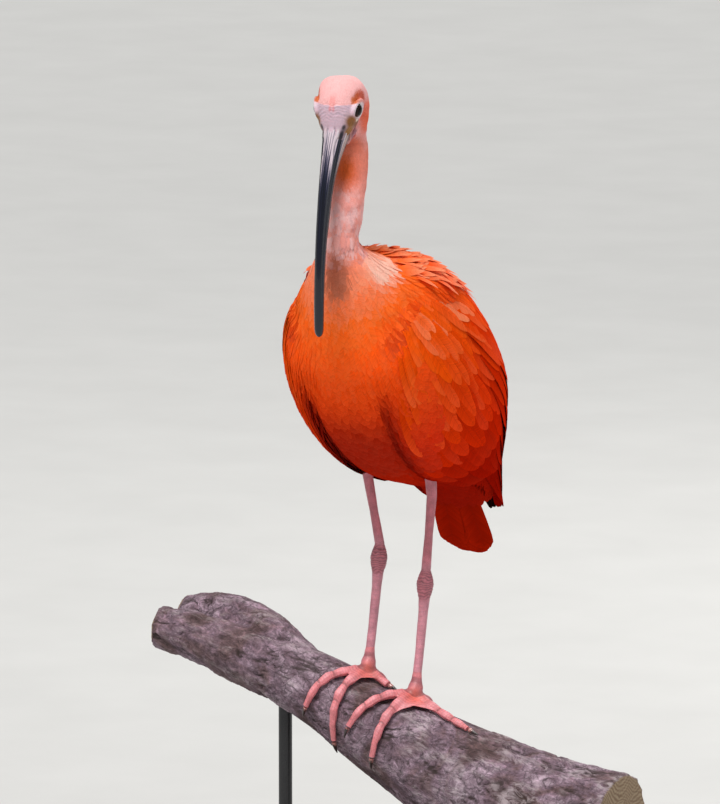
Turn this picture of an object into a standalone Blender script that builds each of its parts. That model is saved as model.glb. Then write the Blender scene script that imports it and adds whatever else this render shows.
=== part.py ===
"""Scarlet ibis gripping a cut length of branch, life size, as a still display model on a plain stand.

The row frame has +Z up. The bird faces -Y, and its left side is +X. The origin is the middle of the
stand base's underside. Lengths here are millimetres, and the mesh functions turn them into metres.
Heights of the bird and the branch are written above LEVEL, the line that the branch's top runs through.
"""

import math

import bmesh
import bpy
from mathutils import Matrix, Vector

MM = 0.001
GAP = 0.3
LEVEL = 196.0

# Stations down the spine from the nape to the wing tips: y, z, half-depth, half-width.
BODY = (
    (-66, 424, 12.0, 12.5),
    (-66.5, 385, 13.0, 14.0),
    (-77, 352, 15.5, 15.0),
    (-81, 327, 16.0, 15.6),
    (-68, 301, 31.5, 32.5),
    (-44, 273, 58.0, 54.5),
    (-8, 237, 72.0, 64.5),
    (32, 201, 66.5, 64.0),
    (64, 172, 47.0, 53.0),
    (87, 150, 29.0, 39.0),
    (104, 127, 18.0, 30.0),
    (118, 104, 12.0, 24.0),
    (130, 82, 8.0, 17.0),
)
NECK_TOP, NECK_END = 0.85, 2.55
NECK_SIDES = 18
TORSO_START, TORSO_TAPER, TORSO_END = 2.564, 8.7, 10.2
TORSO_SIDES, TORSO_RINGS = 24, 18

# The skull: its middle, how far it is turned to the bird's left and pitched down, and stations along
# its axis from the nape to the bill: height above the axis, depth below it, half-width.
HEAD_MIDDLE = Vector((-1.5, -76, 430))
HEAD_TURN = math.radians(7.5)
HEAD_PITCH = math.radians(58)
HEAD = (
    (-18.6, 3.5, 4.5, 4.5),
    (-17.6, 8.0, 9.5, 9.5),
    (-15.2, 12.0, 14.0, 14.2),
    (-11.0, 15.0, 17.2, 16.6),
    (-4.0, 16.8, 19.6, 16.9),
    (4.0, 16.6, 20.2, 16.1),
    (11.0, 14.4, 18.4, 14.8),
    (17.0, 11.2, 14.4, 12.6),
    (21.0, 8.8, 11.6, 10.4),
    (23.0, 7.6, 10.2, 8.6),
)
HEAD_SIDES, HEAD_RINGS = 20, 14
EYE_ALONG, EYE_UP, EYE_OUT, EYE_RADIUS = 6.8, 2.6, 11.6, 5.6
LID_RADIUS, LID_THICK, LID_OUT = 5.2, 1.5, 14.2
EYE_FORWARD = 0.24
GAPE_CORNER, GAPE_SIZE, GAPE_TURN = (20.0, -3.4, 10.9), (8.0, 3.0, 0.6), -0.5

# The bill: an arc that turns from its first pitch to its last, with the height of the ridge above its
# axis, the depth below it and the half-width, at shares of its length.
BILL_LENGTH = 147.0
BILL_PITCH = (HEAD_PITCH, math.radians(92.7))
BILL_BEND = 0.75
BILL = (
    (0.00, 7.4, 10.4, 8.2),
    (0.06, 6.8, 9.0, 7.3),
    (0.14, 6.0, 7.2, 6.3),
    (0.25, 5.2, 5.9, 5.4),
    (0.40, 4.5, 4.9, 4.5),
    (0.65, 3.7, 3.9, 3.7),
    (0.88, 3.3, 3.4, 3.5),
    (0.97, 2.9, 2.8, 3.1),
    (1.00, 1.4, 1.3, 1.7),
)
MOUTH_LINE = 0.22
NOSTRIL_ALONG, NOSTRIL_UP, NOSTRIL_OUT = 0.075, 0.5, 0.86
NOSTRIL_SIZE = (5.0, 1.6, 0.8)

# The folded wing: spine station, the angles of its upper and lower edge from the back, and its bulge.
WING = (
    (4.05, 62, 92, 1.0),
    (4.35, 46, 122, 2.2),
    (5.0, 30, 140, 3.2),
    (6.0, 15, 149, 4.4),
    (7.0, 8, 151, 4.6),
    (8.0, 5, 146, 4.0),
    (9.0, 5, 130, 3.2),
    (10.0, 10, 106, 2.6),
    (10.6, 17, 86, 2.0),
    (11.25, 25, 64, 1.0),
)
WING_COLUMNS, WING_ROWS = 9, 12
WING_EDGE, WING_LIP = 1.2, 4.8
WING_HOLLOW = (0.33, 0.13, 4.0)
WING_SHEET = 2.2
WING_SUNK = 3.0
BLOCK_SIZE = 700.0

# The tiers of the wing's feathers, the lowest layer first: root station, tip station by the upper and by
# the lower edge, the first and last place between the edges, how many, half-width, rise, tilt.
TIERS = (
    ("primaries", 8.3, 11.15, 10.4, 0.23, 0.80, 4, 8.6, 0.7, 1.1),
    ("secondaries", 6.9, 10.1, 8.75, 0.10, 0.93, 6, 12.5, 0.8, 1.5),
    ("greater_coverts", 6.0, 7.8, 7.6, 0.08, 0.94, 6, 12.5, 2.2, 0.9),
    ("median_coverts", 5.2, 6.6, 6.5, 0.14, 0.92, 5, 13.0, 2.0, 0.8),
    ("lesser_coverts", 4.55, 5.7, 5.7, 0.18, 0.86, 4, 13.5, 1.8, 0.8),
    ("scapulars_rear", 6.1, 8.1, 7.8, 0.03, 0.20, 2, 10.5, 3.0, 0.6),
    ("scapulars_front", 4.9, 6.8, 6.5, 0.05, 0.24, 2, 11.5, 3.4, 0.6),
)
ROOT_SUNK = 1.4
VANE_LIFT = 1.1
VANE_THICK = 0.6
VANE_CAMBER = 0.4

# The loose feathers of the mantle, on the torso: root station, tip station, angles from the back.
MANTLE = (
    (3.9, 4.75, (-19, -6, 7, 20)),
    (4.5, 5.5, (-7, 5)),
    (5.25, 6.3, (-1,)),
)
MANTLE_HALF_WIDTH, MANTLE_RISE, MANTLE_TILT = 7.6, 2.2, 0.7

# The tail: where it leaves the rump, the way it points, and its fan of twelve feathers.
TAIL_ROOT = Vector((0, 84, 151))
TAIL_PITCH = math.radians(61)
TAIL_LENGTH = 89.0
TAIL_FEATHERS = 12
TAIL_HALF_WIDTH = 10.5
TAIL_STEP, TAIL_SPREAD, TAIL_STACK = 1.3, math.radians(0.7), 0.42
TAIL_CORE = ((0.0, 11, 6.0), (0.25, 13, 4.5), (0.45, 12, 2.6), (0.6, 8, 1.2))

# The branch: x, z of its middle and its radius, and the same for the limb that joins it from behind, with y.
BRANCH = (
    (-192, 19, 16.0),
    (-140, 10, 19.5),
    (-100, -1, 23.0),
    (-60, -14.0, 26.0),
    (-20, -33.6, 30.6),
    (20, -52.6, 35.6),
    (60, -71, 40.5),
    (100, -83.5, 42.0),
    (145, -91.5, 43.0),
    (184, -97, 44.0),
)
SIDE_LIMB = (
    (-189, 34, 20, 18.5),
    (-162, 33, 22, 20.5),
    (-133, 27, 19, 22.0),
    (-100, 16, 8, 24.0),
    (-66, 7, -14, 24.5),
)
BRANCH_SIDES, BRANCH_RINGS = 20, 17
LIMB_SIDES, LIMB_RINGS = 14, 8
BARK_WAVES = ((3, 45.0, 0.018), (5, -20.0, 0.010))

# Each leg: where the shank leaves the body, the ankle, the toe joint and the toes.
# A toe is its name, its heading from straight forward, how far it turns, its length, and where it starts
# round the branch.
LEGS = {
    "left": {
        "body": (27, 6, 170),
        "belly": (25.5, 13, 134),
        "ankle": (18.5, 17.5, 78),
        "joint": (19.0, 0.5, -5.6),
        "toes": (
            ("inner", -50, 13, 69, 2),
            ("middle", -19, 3, 69, 5),
            ("outer", 80, 0, 58, 2),
            ("hind", 175, 0, 27, -6),
        ),
        "webs": (("inner", "middle", 0.26), ("middle", "outer", 0.48)),
    },
    "right": {
        "body": (-27, 4, 178),
        "belly": (-25, 10.5, 143),
        "ankle": (-19, 17, 94),
        "joint": (-19.4, 0.0, 9.4),
        "toes": (
            ("inner", 80, 0, 27, -1),
            ("middle", -24, 13, 71, 5),
            ("outer", -50, 15, 70, 2),
            ("hind", 170, 0, 27, -6),
        ),
        "webs": (("outer", "middle", 0.26), ("middle", "inner", 0.46)),
    },
}
PAD = (7.4, 6.3, 4.6)
PAD_DROP, TOE_DROP = 4.4, 4.4
TOE_SETTLE = 17.0
WEB_THICK, WEB_BULGE, WEB_NOTCH = 1.0, 2.2, 0.34
SHANK_RADIUS = 3.4
TARSUS = (
    (0.00, 4.0, 4.0),
    (0.05, 5.6, 5.4),
    (0.11, 6.8, 6.4),
    (0.17, 6.2, 5.8),
    (0.24, 4.5, 4.6),
    (0.36, 3.7, 4.0),
    (0.70, 3.15, 3.5),
    (0.88, 3.4, 3.7),
    (0.95, 5.2, 4.4),
    (1.00, 6.8, 5.0),
)
TOE_RADIUS, TOE_TIP_RADIUS = 4.1, 2.7
CLAW_LENGTH, CLAW_GAP = 9.0, 0.7

# The stand.
BASE_SIZE = (300.0, 210.0, 18.0)
BASE_EDGE = 4.0
ROD_PLACES = (-88.0, 84.0)
ROD_RADIUS, COLLAR_RADIUS, COLLAR_HEIGHT = 5.0, 13.0, 6.0


def clear_scene():
    for old in list(bpy.data.objects):
        bpy.data.objects.remove(old, do_unlink=True)


def collection(name):
    made = bpy.data.collections.new(name)
    bpy.context.scene.collection.children.link(made)
    return made


def material(name, colour, roughness, metallic=0.0):
    made = bpy.data.materials.new(name)
    made.use_nodes = True
    shader = made.node_tree.nodes["Principled BSDF"]
    shader.inputs["Base Color"].default_value = (*colour, 1.0)
    shader.inputs["Roughness"].default_value = roughness
    shader.inputs["Metallic"].default_value = metallic
    made.diffuse_color = (*colour, 1.0)
    return made


def read(table, at, keyed=False):
    """A row of the table at a place between its rows, on a smooth curve through them. A keyed table's
    places are its first column, and any other's are the row numbers."""
    last = len(table) - 1
    if keyed:
        keys = [row[0] for row in table]
        at = min(max(at, keys[0]), keys[-1])
        low = max(i for i in range(last) if keys[i] <= at)
        share = (at - keys[low]) / (keys[low + 1] - keys[low])
    else:
        at = min(max(at, 0.0), float(last))
        low = min(int(at), last - 1)
        share = at - low
    rows = [table[min(max(low + step, 0), last)] for step in (-1, 0, 1, 2)]
    found = []
    for a, b, c, d in zip(*rows):
        slope_b, slope_c = (c - a) / 2, (d - b) / 2
        two, three = share**2, share**3
        found.append(
            b * (2 * three - 3 * two + 1)
            + slope_b * (three - 2 * two + share)
            + c * (3 * two - 2 * three)
            + slope_c * (three - two)
        )
    return found


def spread(first, last, count):
    return [first + (last - first) * i / (count - 1) for i in range(count)]


def smooth_step(share):
    share = min(max(share, 0.0), 1.0)
    return share * share * (3 - 2 * share)


def build_object(name, bm, look, group):
    bmesh.ops.recalc_face_normals(bm, faces=bm.faces)
    mesh = bpy.data.meshes.new(name)
    bm.to_mesh(mesh)
    bm.free()
    mesh.shade_smooth()
    mesh.set_sharp_from_angle(angle=math.radians(40))
    made = bpy.data.objects.new(name, mesh)
    if look:
        mesh.materials.append(look)
    group.objects.link(made)
    return made


def loft(name, rings, look, group):
    """A closed skin over rings of equally many points, with a flat face on each end."""
    bm = bmesh.new()
    rows = [[bm.verts.new(point * MM) for point in ring] for ring in rings]
    count = len(rows[0])
    for near, far in zip(rows, rows[1:]):
        for i in range(count):
            j = (i + 1) % count
            bm.faces.new((near[i], near[j], far[j], far[i]))
    bm.faces.new(rows[0])
    bm.faces.new(rows[-1])
    return build_object(name, bm, look, group)


def sheet(place, rows, columns, thick, group):
    """A thin closed piece over a grid: place(along, across) gives its points, each from 0 to 1."""
    bm = bmesh.new()
    bmesh.ops.create_grid(bm, x_segments=rows, y_segments=columns, size=1.0)
    for vert in bm.verts:
        vert.co = place((vert.co.x + 1) / 2, (vert.co.y + 1) / 2) * MM
    bmesh.ops.remove_doubles(bm, verts=bm.verts, dist=1e-6)
    bmesh.ops.triangulate(bm, faces=bm.faces)
    piece = build_object("sheet", bm, None, group)
    solidify = piece.modifiers.new("thickness", "SOLIDIFY")
    solidify.thickness = thick * MM
    solidify.offset = 0.0
    return applied(piece)


def vane(place, half_width, rows, group, tilt=0.0):
    """A feather's blade along a path: narrow at its quill, rounded at its tip and cambered across.
    place(share) gives a point of the path and the way out of the plumage there."""

    def point(along, across):
        share = 1 - (1 - along) ** 1.5
        middle, out = place(share)
        ahead = (place(min(share + 0.02, 1.0))[0] - place(max(share - 0.02, 0.0))[0]).normalized()
        side = ahead.cross(out).normalized()
        width = 0.55 + 0.45 * smooth_step(share / 0.4)
        width *= math.sqrt(max(0.0, 1 - (max(share - 0.68, 0.0) / 0.32) ** 2))
        reach = 2 * across - 1
        return middle + side * reach * width * half_width + out * (tilt * reach - VANE_CAMBER * reach**2)

    return sheet(point, rows, 2, VANE_THICK, group)


def applied(obj):
    """Replaces the object's mesh with what its modifiers make of it."""
    bpy.context.view_layer.update()
    graph = bpy.context.evaluated_depsgraph_get()
    mesh = bpy.data.meshes.new_from_object(obj.evaluated_get(graph))
    obj.modifiers.clear()
    obj.data = mesh
    return obj


def keep_largest(obj):
    """Drops the loose scraps and the sealed hollows that a Boolean leaves."""
    bm = bmesh.new()
    bm.from_mesh(obj.data)
    bmesh.ops.remove_doubles(bm, verts=bm.verts, dist=1e-6)
    left, shells = set(bm.faces), []
    while left:
        shell, edge = set(), [left.pop()]
        while edge:
            face = edge.pop()
            shell.add(face)
            near = {f for e in face.edges if e.is_manifold for f in e.link_faces} & left
            left -= near
            edge.extend(near)
        shells.append(shell)

    def size(shell):
        box = [v.co for f in shell for v in f.verts]
        return math.prod(max(p[k] for p in box) - min(p[k] for p in box) for k in range(3))

    shells.sort(key=size)
    scraps = [f for shell in shells[:-1] for f in shell]
    bmesh.ops.delete(bm, geom=scraps, context="FACES")
    bm.to_mesh(obj.data)
    bm.free()
    return obj


def boolean(obj, others, operation):
    """Joins or cuts the object with every other one at once, and removes the others."""
    helpers = collection(obj.name + "_helpers")
    for other in others:
        for home in list(other.users_collection):
            home.objects.unlink(other)
        helpers.objects.link(other)
    modifier = obj.modifiers.new(operation, "BOOLEAN")
    modifier.operation = operation
    modifier.operand_type = "COLLECTION"
    modifier.collection = helpers
    modifier.solver = "EXACT"
    modifier.use_self = True
    applied(obj)
    for other in others:
        bpy.data.objects.remove(other, do_unlink=True)
    bpy.data.collections.remove(helpers)
    return keep_largest(obj)


def mirrored(point, side):
    return Vector((point.x * side, point.y, point.z))


def lifted(y, z, x=0.0):
    return Vector((x, y, z + LEVEL))


def body_place(u, angle, side=1, lift=0.0):
    """A point over the body and the way out there. u counts the stations of the spine, and the angle
    is in degrees from the back round to the belly."""
    y, z, depth, width = read(BODY, u)
    before, after = read(BODY, u - 0.05), read(BODY, u + 0.05)
    along = Vector((0, after[0] - before[0], after[1] - before[1])).normalized()
    back = Vector((0, -along.z, along.y))
    across, up = math.sin(math.radians(angle)), math.cos(math.radians(angle))
    out = (Vector((across / width, 0, 0)) + back * (up / depth)).normalized()
    point = lifted(y, z, across * width) + back * (up * depth) + out * lift
    return mirrored(point, side), mirrored(out, side)


def body_loft(name, first, last, count, sides, look, group, lift=0.0):
    rings = [
        [body_place(u, 360 * k / sides, 1, lift)[0] for k in range(sides)]
        for u in spread(first, last, count)
    ]
    return loft(name, rings, look, group)


def torso_loft(name, look, group, lift=0.0):
    """The body from the neck to the rump, where it rounds off."""
    rings = []
    for u in spread(TORSO_START, TORSO_END, TORSO_RINGS):
        y, z, _, _ = read(BODY, u)
        share = max(0.0, (u - TORSO_TAPER) / (TORSO_END - TORSO_TAPER))
        shrink = math.sqrt(1 - 0.94 * share**2)
        ring = []
        for k in range(TORSO_SIDES):
            point, out = body_place(u, 360 * k / TORSO_SIDES)
            ring.append(lifted(y, z).lerp(point, shrink) + out * lift)
        rings.append(ring)
    return loft(name, rings, look, group)


def torso_cutter(group):
    """The torso grown by the gap, which trims what meets it."""
    return torso_loft("torso_cutter", None, group, GAP)


def head_axes(pitch=HEAD_PITCH):
    """The way along the skull or the bill at a pitch, the way up out of it, and the way to its left."""
    level = Vector((math.sin(HEAD_TURN), -math.cos(HEAD_TURN), 0))
    rise = Vector((0, 0, 1))
    along = level * math.cos(pitch) - rise * math.sin(pitch)
    up = level * math.sin(pitch) + rise * math.cos(pitch)
    return along, up, Vector((math.cos(HEAD_TURN), math.sin(HEAD_TURN), 0))


def head_point(along, up, out):
    """A point of the head, counted from its middle along the skull, up out of it and to its left."""
    ahead, crown, left = head_axes()
    return HEAD_MIDDLE + Vector((0, 0, LEVEL)) + ahead * along + crown * up + left * out


def head_ring(at, sides):
    along, up, down, half = read(HEAD, at)
    ring = []
    for k in range(sides):
        turn = 2 * math.pi * k / sides
        rise = math.cos(turn)
        ring.append(head_point(along, rise * (up if rise > 0 else down), math.sin(turn) * half))
    return ring


def bill_pitch(at):
    first, last = BILL_PITCH
    return first + (last - first) * at**BILL_BEND


def bill_frame(at):
    """The middle of the bill at a share of its length, the ways up and left there, and its sizes."""
    steps = 40
    point = head_point(HEAD[-1][0] + GAP, 0, 0)
    for i in range(steps):
        stride = BILL_LENGTH * at / steps
        point += head_axes(bill_pitch(at * (i + 0.5) / steps))[0] * stride
    _, up, left = head_axes(bill_pitch(at))
    return point, up, left, read(BILL, at, keyed=True)[1:]


def ball(name, centre, radius, group, look=None, segments=16, rings=10, squash=None):
    bm = bmesh.new()
    bmesh.ops.create_uvsphere(bm, u_segments=segments, v_segments=rings, radius=radius * MM)
    if squash:
        bmesh.ops.transform(bm, matrix=squash, verts=bm.verts)
    bmesh.ops.translate(bm, vec=centre * MM, verts=bm.verts)
    return build_object(name, bm, look, group)


def slit(name, centre, along, across, sizes, group):
    """A flat ball that cuts a slit: its half-sizes lie along, across and through the third way."""
    third = along.cross(across)
    turn = Matrix((along, across, third)).transposed().to_4x4()
    stretch = Matrix.Diagonal((*sizes, 1.0))
    return ball(name, centre, 1.0, group, segments=12, rings=8, squash=turn @ stretch)


def eyelid(side, group):
    """The raised ring of bare skin round the eye."""
    bm = bmesh.new()
    bmesh.ops.create_circle(bm, segments=5, radius=LID_THICK * MM, cap_ends=False)
    bmesh.ops.rotate(bm, matrix=Matrix.Rotation(math.radians(90), 3, "X"), verts=bm.verts)
    bmesh.ops.translate(bm, vec=Vector((LID_RADIUS * MM, 0, 0)), verts=bm.verts)
    bmesh.ops.spin(
        bm,
        geom=bm.verts[:] + bm.edges[:],
        cent=(0, 0, 0),
        axis=(0, 0, 1),
        angle=2 * math.pi,
        steps=12,
        use_merge=True,
    )
    bmesh.ops.remove_doubles(bm, verts=bm.verts, dist=1e-6)
    ahead, crown, left = head_axes()
    turn = (left * side + ahead * EYE_FORWARD).to_track_quat("Z", "Y").to_matrix()
    bmesh.ops.rotate(bm, matrix=turn, verts=bm.verts)
    centre = head_point(EYE_ALONG + 0.6, EYE_UP, side * LID_OUT)
    bmesh.ops.translate(bm, vec=centre * MM, verts=bm.verts)
    return build_object("eyelid", bm, None, group)


def make_head(looks, group):
    """The skull with the throat under it, the lids, the eye sockets and the corners of the mouth."""
    head = loft("head", [head_ring(i, HEAD_SIDES) for i in spread(0, len(HEAD) - 1, HEAD_RINGS)], looks["skin"], group)
    throat = body_loft("throat", 0.0, NECK_TOP, 5, NECK_SIDES, None, group)
    boolean(head, [throat] + [eyelid(side, group) for side in (1, -1)], "UNION")
    ahead, crown, left = head_axes()
    cutters = []
    for side in (1, -1):
        eye = head_point(EYE_ALONG, EYE_UP, side * EYE_OUT)
        cutters.append(ball("socket", eye, EYE_RADIUS + GAP, group, None, 12, 8))
        along, up, out = GAPE_CORNER
        lie = (ahead + left * GAPE_TURN * side).normalized()
        across = lie.cross(crown).normalized()
        cutters.append(slit("gape", head_point(along, up, side * out), lie, across, GAPE_SIZE, group))
    boolean(head, cutters, "DIFFERENCE")
    for name, side in (("eye_left", 1), ("eye_right", -1)):
        eye = head_point(EYE_ALONG, EYE_UP, side * EYE_OUT)
        ball(name, eye, EYE_RADIUS, group, looks["eye"], 12, 8)


def bill_ring(at, upper):
    """The upper part of the bill's section, from the line of the mouth over the ridge, or the lower part."""
    point, up, left, (above, below, half) = bill_frame(at)
    mouth = -MOUTH_LINE * below
    dip = math.asin(MOUTH_LINE)
    ring = []
    if upper:
        for turn in spread(-dip, math.pi + dip, 11):
            across, rise = math.cos(turn), math.sin(turn)
            groove = 0.93 if 0.6 < abs(across) < 0.9 and rise > 0 and 0.02 < at < 0.8 else 1.0
            height = rise * (above if rise > 0 else below)
            ring.append(point + left * across * half * groove + up * height * groove)
    else:
        for turn in spread(math.pi + dip, 2 * math.pi - dip, 8):
            across, rise = math.cos(turn), math.sin(turn)
            ring.append(point + left * across * half + up * (min(rise * below, mouth) - GAP))
    return ring


def make_bill(looks, group):
    """The two halves of the bill, with the grooves of the upper one and its slit nostrils."""
    shares = spread(0, 0.9, 10) + [0.95, 0.985, 1.0]
    upper = loft("bill_upper", [bill_ring(at, True) for at in shares], looks["bill"], group)
    loft("bill_lower", [bill_ring(at, False) for at in shares[:-1]], looks["bill"], group)
    cutters = []
    for side in (1, -1):
        point, up, left, (above, below, half) = bill_frame(NOSTRIL_ALONG)
        centre = point + up * above * NOSTRIL_UP + left * side * half * NOSTRIL_OUT
        lie = head_axes(bill_pitch(NOSTRIL_ALONG))[0]
        cutters.append(slit("nostril", centre, lie, left, NOSTRIL_SIZE, group))
    boolean(upper, cutters, "DIFFERENCE")


def make_torso(looks, group):
    """The body with the loose feathers of the mantle between the wings."""
    torso = torso_loft("torso", looks["plumage"], group)
    vanes = []
    for root, tip, angles in MANTLE:
        for angle in angles:

            def place(share, root=root, tip=tip, angle=angle):
                lift = -ROOT_SUNK if share < 0.02 else VANE_LIFT + MANTLE_RISE * share
                return body_place(root + (tip - root) * share, angle, 1, lift)

            vanes.append(vane(place, MANTLE_HALF_WIDTH, 3, group, MANTLE_TILT))
    boolean(torso, vanes, "UNION")


def wing_lift(u, b):
    """How far the wing stands off the body at a place between its upper and its lower edge: full in its
    middle, with the hollow that parts the shoulder's feathers from the forearm's, and a free lower lip."""
    bulge = read(WING, u, keyed=True)[3]
    middle, width, deep = WING_HOLLOW
    b = min(max(b, 0.0), 1.0)
    lift = bulge * math.sin(math.pi * b) ** 0.6 if 0 < b < 1 else 0.0
    lift -= deep * math.exp(-(((b - middle) / width) ** 2)) * smooth_step((9.5 - u) / 2)
    lip = WING_LIP * smooth_step((u - 4.3) / 0.8)
    return max(lift, WING_EDGE + (lip - WING_EDGE) * smooth_step((b - 0.6) / 0.3))


def wing_point(u, b, side, offset=0.0):
    """A point over the wing and the way out there; b runs from its upper edge at 0 to its lower at 1."""
    top, low = read(WING, u, keyed=True)[1:3]
    return body_place(u, top + (low - top) * b, side, wing_lift(u, b) + offset)


def wing_core(name, side, look, group):
    """The closed form of the folded wing: sunk to the body, and a sheet where it hangs free."""
    rings = []
    for u in spread(WING[0][0], WING[-1][0], WING_ROWS):
        outer, inner = [], []
        for b in spread(0.0, 1.0, WING_COLUMNS):
            high = wing_lift(u, b)
            free = max(smooth_step((u - 8.4) / 0.8), smooth_step((b - 0.72) / 0.16))
            sunk = -WING_SUNK - high
            outer.append(wing_point(u, b, side)[0])
            inner.append(wing_point(u, b, side, sunk + (-WING_SHEET - sunk) * free)[0])
        rings.append(outer + inner[::-1])
    return loft(name, rings, look, group)


def tier(side, shape, group):
    """A row of the wing's feathers, each lifting from its sunk root to its tip, its lower edge raised."""
    name, root, tip_above, tip_below, first, last, count, half_width, rise, tilt = shape
    vanes = []
    for b in spread(first, last, count):
        tip = tip_above + (tip_below - tip_above) * (b - first) / (last - first)

        def place(share, b=b, tip=tip):
            offset = -ROOT_SUNK if share < 0.02 else VANE_LIFT + rise * share
            return wing_point(root + (tip - root) * share, b, side, offset)

        rows = 4 if name == "secondaries" else 3
        vanes.append(vane(place, half_width, rows, group, tilt * side))
    return vanes


def other_half(side, group):
    """A block over the bird's other half, up to its middle, which parts the two wings."""
    bm = bmesh.new()
    bmesh.ops.create_cube(bm, size=BLOCK_SIZE * MM)
    bmesh.ops.translate(bm, vec=(side * (GAP - BLOCK_SIZE) / 2 * MM, 0, LEVEL * MM), verts=bm.verts)
    return build_object("other_half", bm, None, group)


def make_wings(looks, group):
    for name, side in (("wing_left", 1), ("wing_right", -1)):
        wing = wing_core(name, side, looks["wing"], group)
        vanes = [blade for shape in TIERS for blade in tier(side, shape, group)]
        boolean(wing, vanes, "UNION")
        boolean(wing, [torso_cutter(group), other_half(side, group)], "DIFFERENCE")


def make_tail(looks, group):
    """The closed fan of the tail: the middle feathers lie on top and the outer ones are shorter."""
    along = Vector((0, math.cos(TAIL_PITCH), -math.sin(TAIL_PITCH)))
    up = Vector((0, -along.z, along.y))
    root = TAIL_ROOT + Vector((0, 0, LEVEL))
    rings = []
    for share, half, thick in TAIL_CORE:
        centre = root + along * share * TAIL_LENGTH - up * TAIL_STACK * 2
        turns = [2 * math.pi * k / 12 for k in range(12)]
        rings.append([centre + Vector((math.cos(t) * half, 0, 0)) + up * math.sin(t) * thick for t in turns])
    tail = loft("tail", rings, looks["wing"], group)
    vanes = []
    for k in range(TAIL_FEATHERS):
        place_in_fan = k - (TAIL_FEATHERS - 1) / 2
        length = TAIL_LENGTH * (1 - 0.0028 * place_in_fan**2)
        lie = along + Vector((math.tan(TAIL_SPREAD * place_in_fan), 0, 0))
        start = root + Vector((TAIL_STEP * place_in_fan, 0, 0)) - up * abs(place_in_fan) * TAIL_STACK

        def place(share, start=start, lie=lie, length=length):
            return start + lie * share * length, up

        tilt = 0.5 if place_in_fan < 0 else -0.5
        vanes.append(vane(place, TAIL_HALF_WIDTH, 3, group, tilt))
    boolean(tail, vanes, "UNION")
    boolean(tail, [torso_cutter(group)], "DIFFERENCE")


def branch_frame(x):
    """The branch's middle over a place along it, the way up out of it, and its radius."""
    _, z, radius = read(BRANCH, x, keyed=True)
    slope = (read(BRANCH, x + 2, keyed=True)[1] - read(BRANCH, x - 2, keyed=True)[1]) / 4
    return lifted(0, z, x), Vector((-slope, 0, 1)).normalized(), radius


def branch_point(x, angle, lift=0.0):
    """A point on the branch, its angle counted in degrees from the top round to the front."""
    middle, up, radius = branch_frame(x)
    turn = math.radians(angle)
    radius *= 1 + sum(size * math.sin(waves * turn + x / length) for waves, length, size in BARK_WAVES)
    out = up * math.cos(turn) + Vector((0, -math.sin(turn), 0))
    return middle + out * (radius + lift)


def bark_point(x, angle, lift):
    """The same, over a given x, because the branch slopes and its sections lean with it."""
    place = x
    for _ in range(6):
        place += x - branch_point(place, angle, lift).x
    return branch_point(place, angle, lift), branch_frame(place)


def branch_loft(name, look, group, lift=0.0):
    ends = (BRANCH[0][0] - lift, BRANCH[-1][0] + lift)
    rings = [
        [branch_point(x, 360 * k / BRANCH_SIDES, lift) for k in range(BRANCH_SIDES)]
        for x in spread(*ends, BRANCH_RINGS)
    ]
    return loft(name, rings, look, group)


def side_limb(group):
    """The limb that joins the branch from behind."""
    rings = []
    for at in spread(0, len(SIDE_LIMB) - 1, LIMB_RINGS):
        x, y, z, radius = read(SIDE_LIMB, at)
        ring = []
        for k in range(LIMB_SIDES):
            turn = 2 * math.pi * k / LIMB_SIDES
            reach = radius * (1 + 0.03 * math.sin(3 * turn + x / 30))
            ring.append(lifted(y + math.sin(turn) * reach, z + math.cos(turn) * reach, x))
        rings.append(ring)
    return loft("side_limb", rings, None, group)


def make_perch(looks, group):
    perch = branch_loft("perch", looks["bark"], group)
    boolean(perch, [side_limb(group)], "UNION")


def limb(name, path, sizes, look, group, sides=10):
    """A round limb along a path, with its own half-width and half-depth at each point."""
    rings = []
    for i, point in enumerate(path):
        before, after = path[max(i - 1, 0)], path[min(i + 1, len(path) - 1)]
        along = (after - before).normalized()
        across = Vector((1, 0, 0)) - along * along.x
        across.normalize()
        front = along.cross(across)
        wide, deep = sizes[i]
        ring = []
        for k in range(sides):
            turn = 2 * math.pi * k / sides
            ring.append(point + across * math.cos(turn) * wide + front * math.sin(turn) * deep)
        rings.append(ring)
    return loft(name, rings, look, group)


def leg_points(leg):
    return [lifted(leg[k][1], leg[k][2], leg[k][0]) for k in ("body", "belly", "ankle", "joint")]


def tarsus(name, leg, look, group, lift=0.0):
    """The bare shaft from the ankle's knob to the foot, bowed a little backwards."""
    _, _, ankle, joint = leg_points(leg)
    down = (joint - ankle).normalized()
    path = [ankle.lerp(joint, s) + Vector((0, 1.6, 0)) * math.sin(math.pi * s) for s, _, _ in TARSUS]
    path[0] -= down * lift
    path[-1] += down * lift
    return limb(name, path, [(wide + lift, deep + lift) for _, wide, deep in TARSUS], look, group, 12)


def make_legs(looks, group):
    for side, leg in LEGS.items():
        body, belly, ankle, joint = leg_points(leg)
        path = [body, body.lerp(belly, 0.55), belly, belly.lerp(ankle, 0.5), ankle]
        sizes = [(SHANK_RADIUS + more, SHANK_RADIUS + more * 1.2) for more in (2.4, 1.4, 0.6, 0.0, 0.5)]
        shank = limb("shank_" + side, path, sizes, looks["leg"], group)
        cutters = [torso_cutter(group), tarsus("tarsus_cutter", leg, None, group, GAP)]
        boolean(shank, cutters, "DIFFERENCE")
        tarsus("tarsus_" + side, leg, looks["leg"], group)


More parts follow.
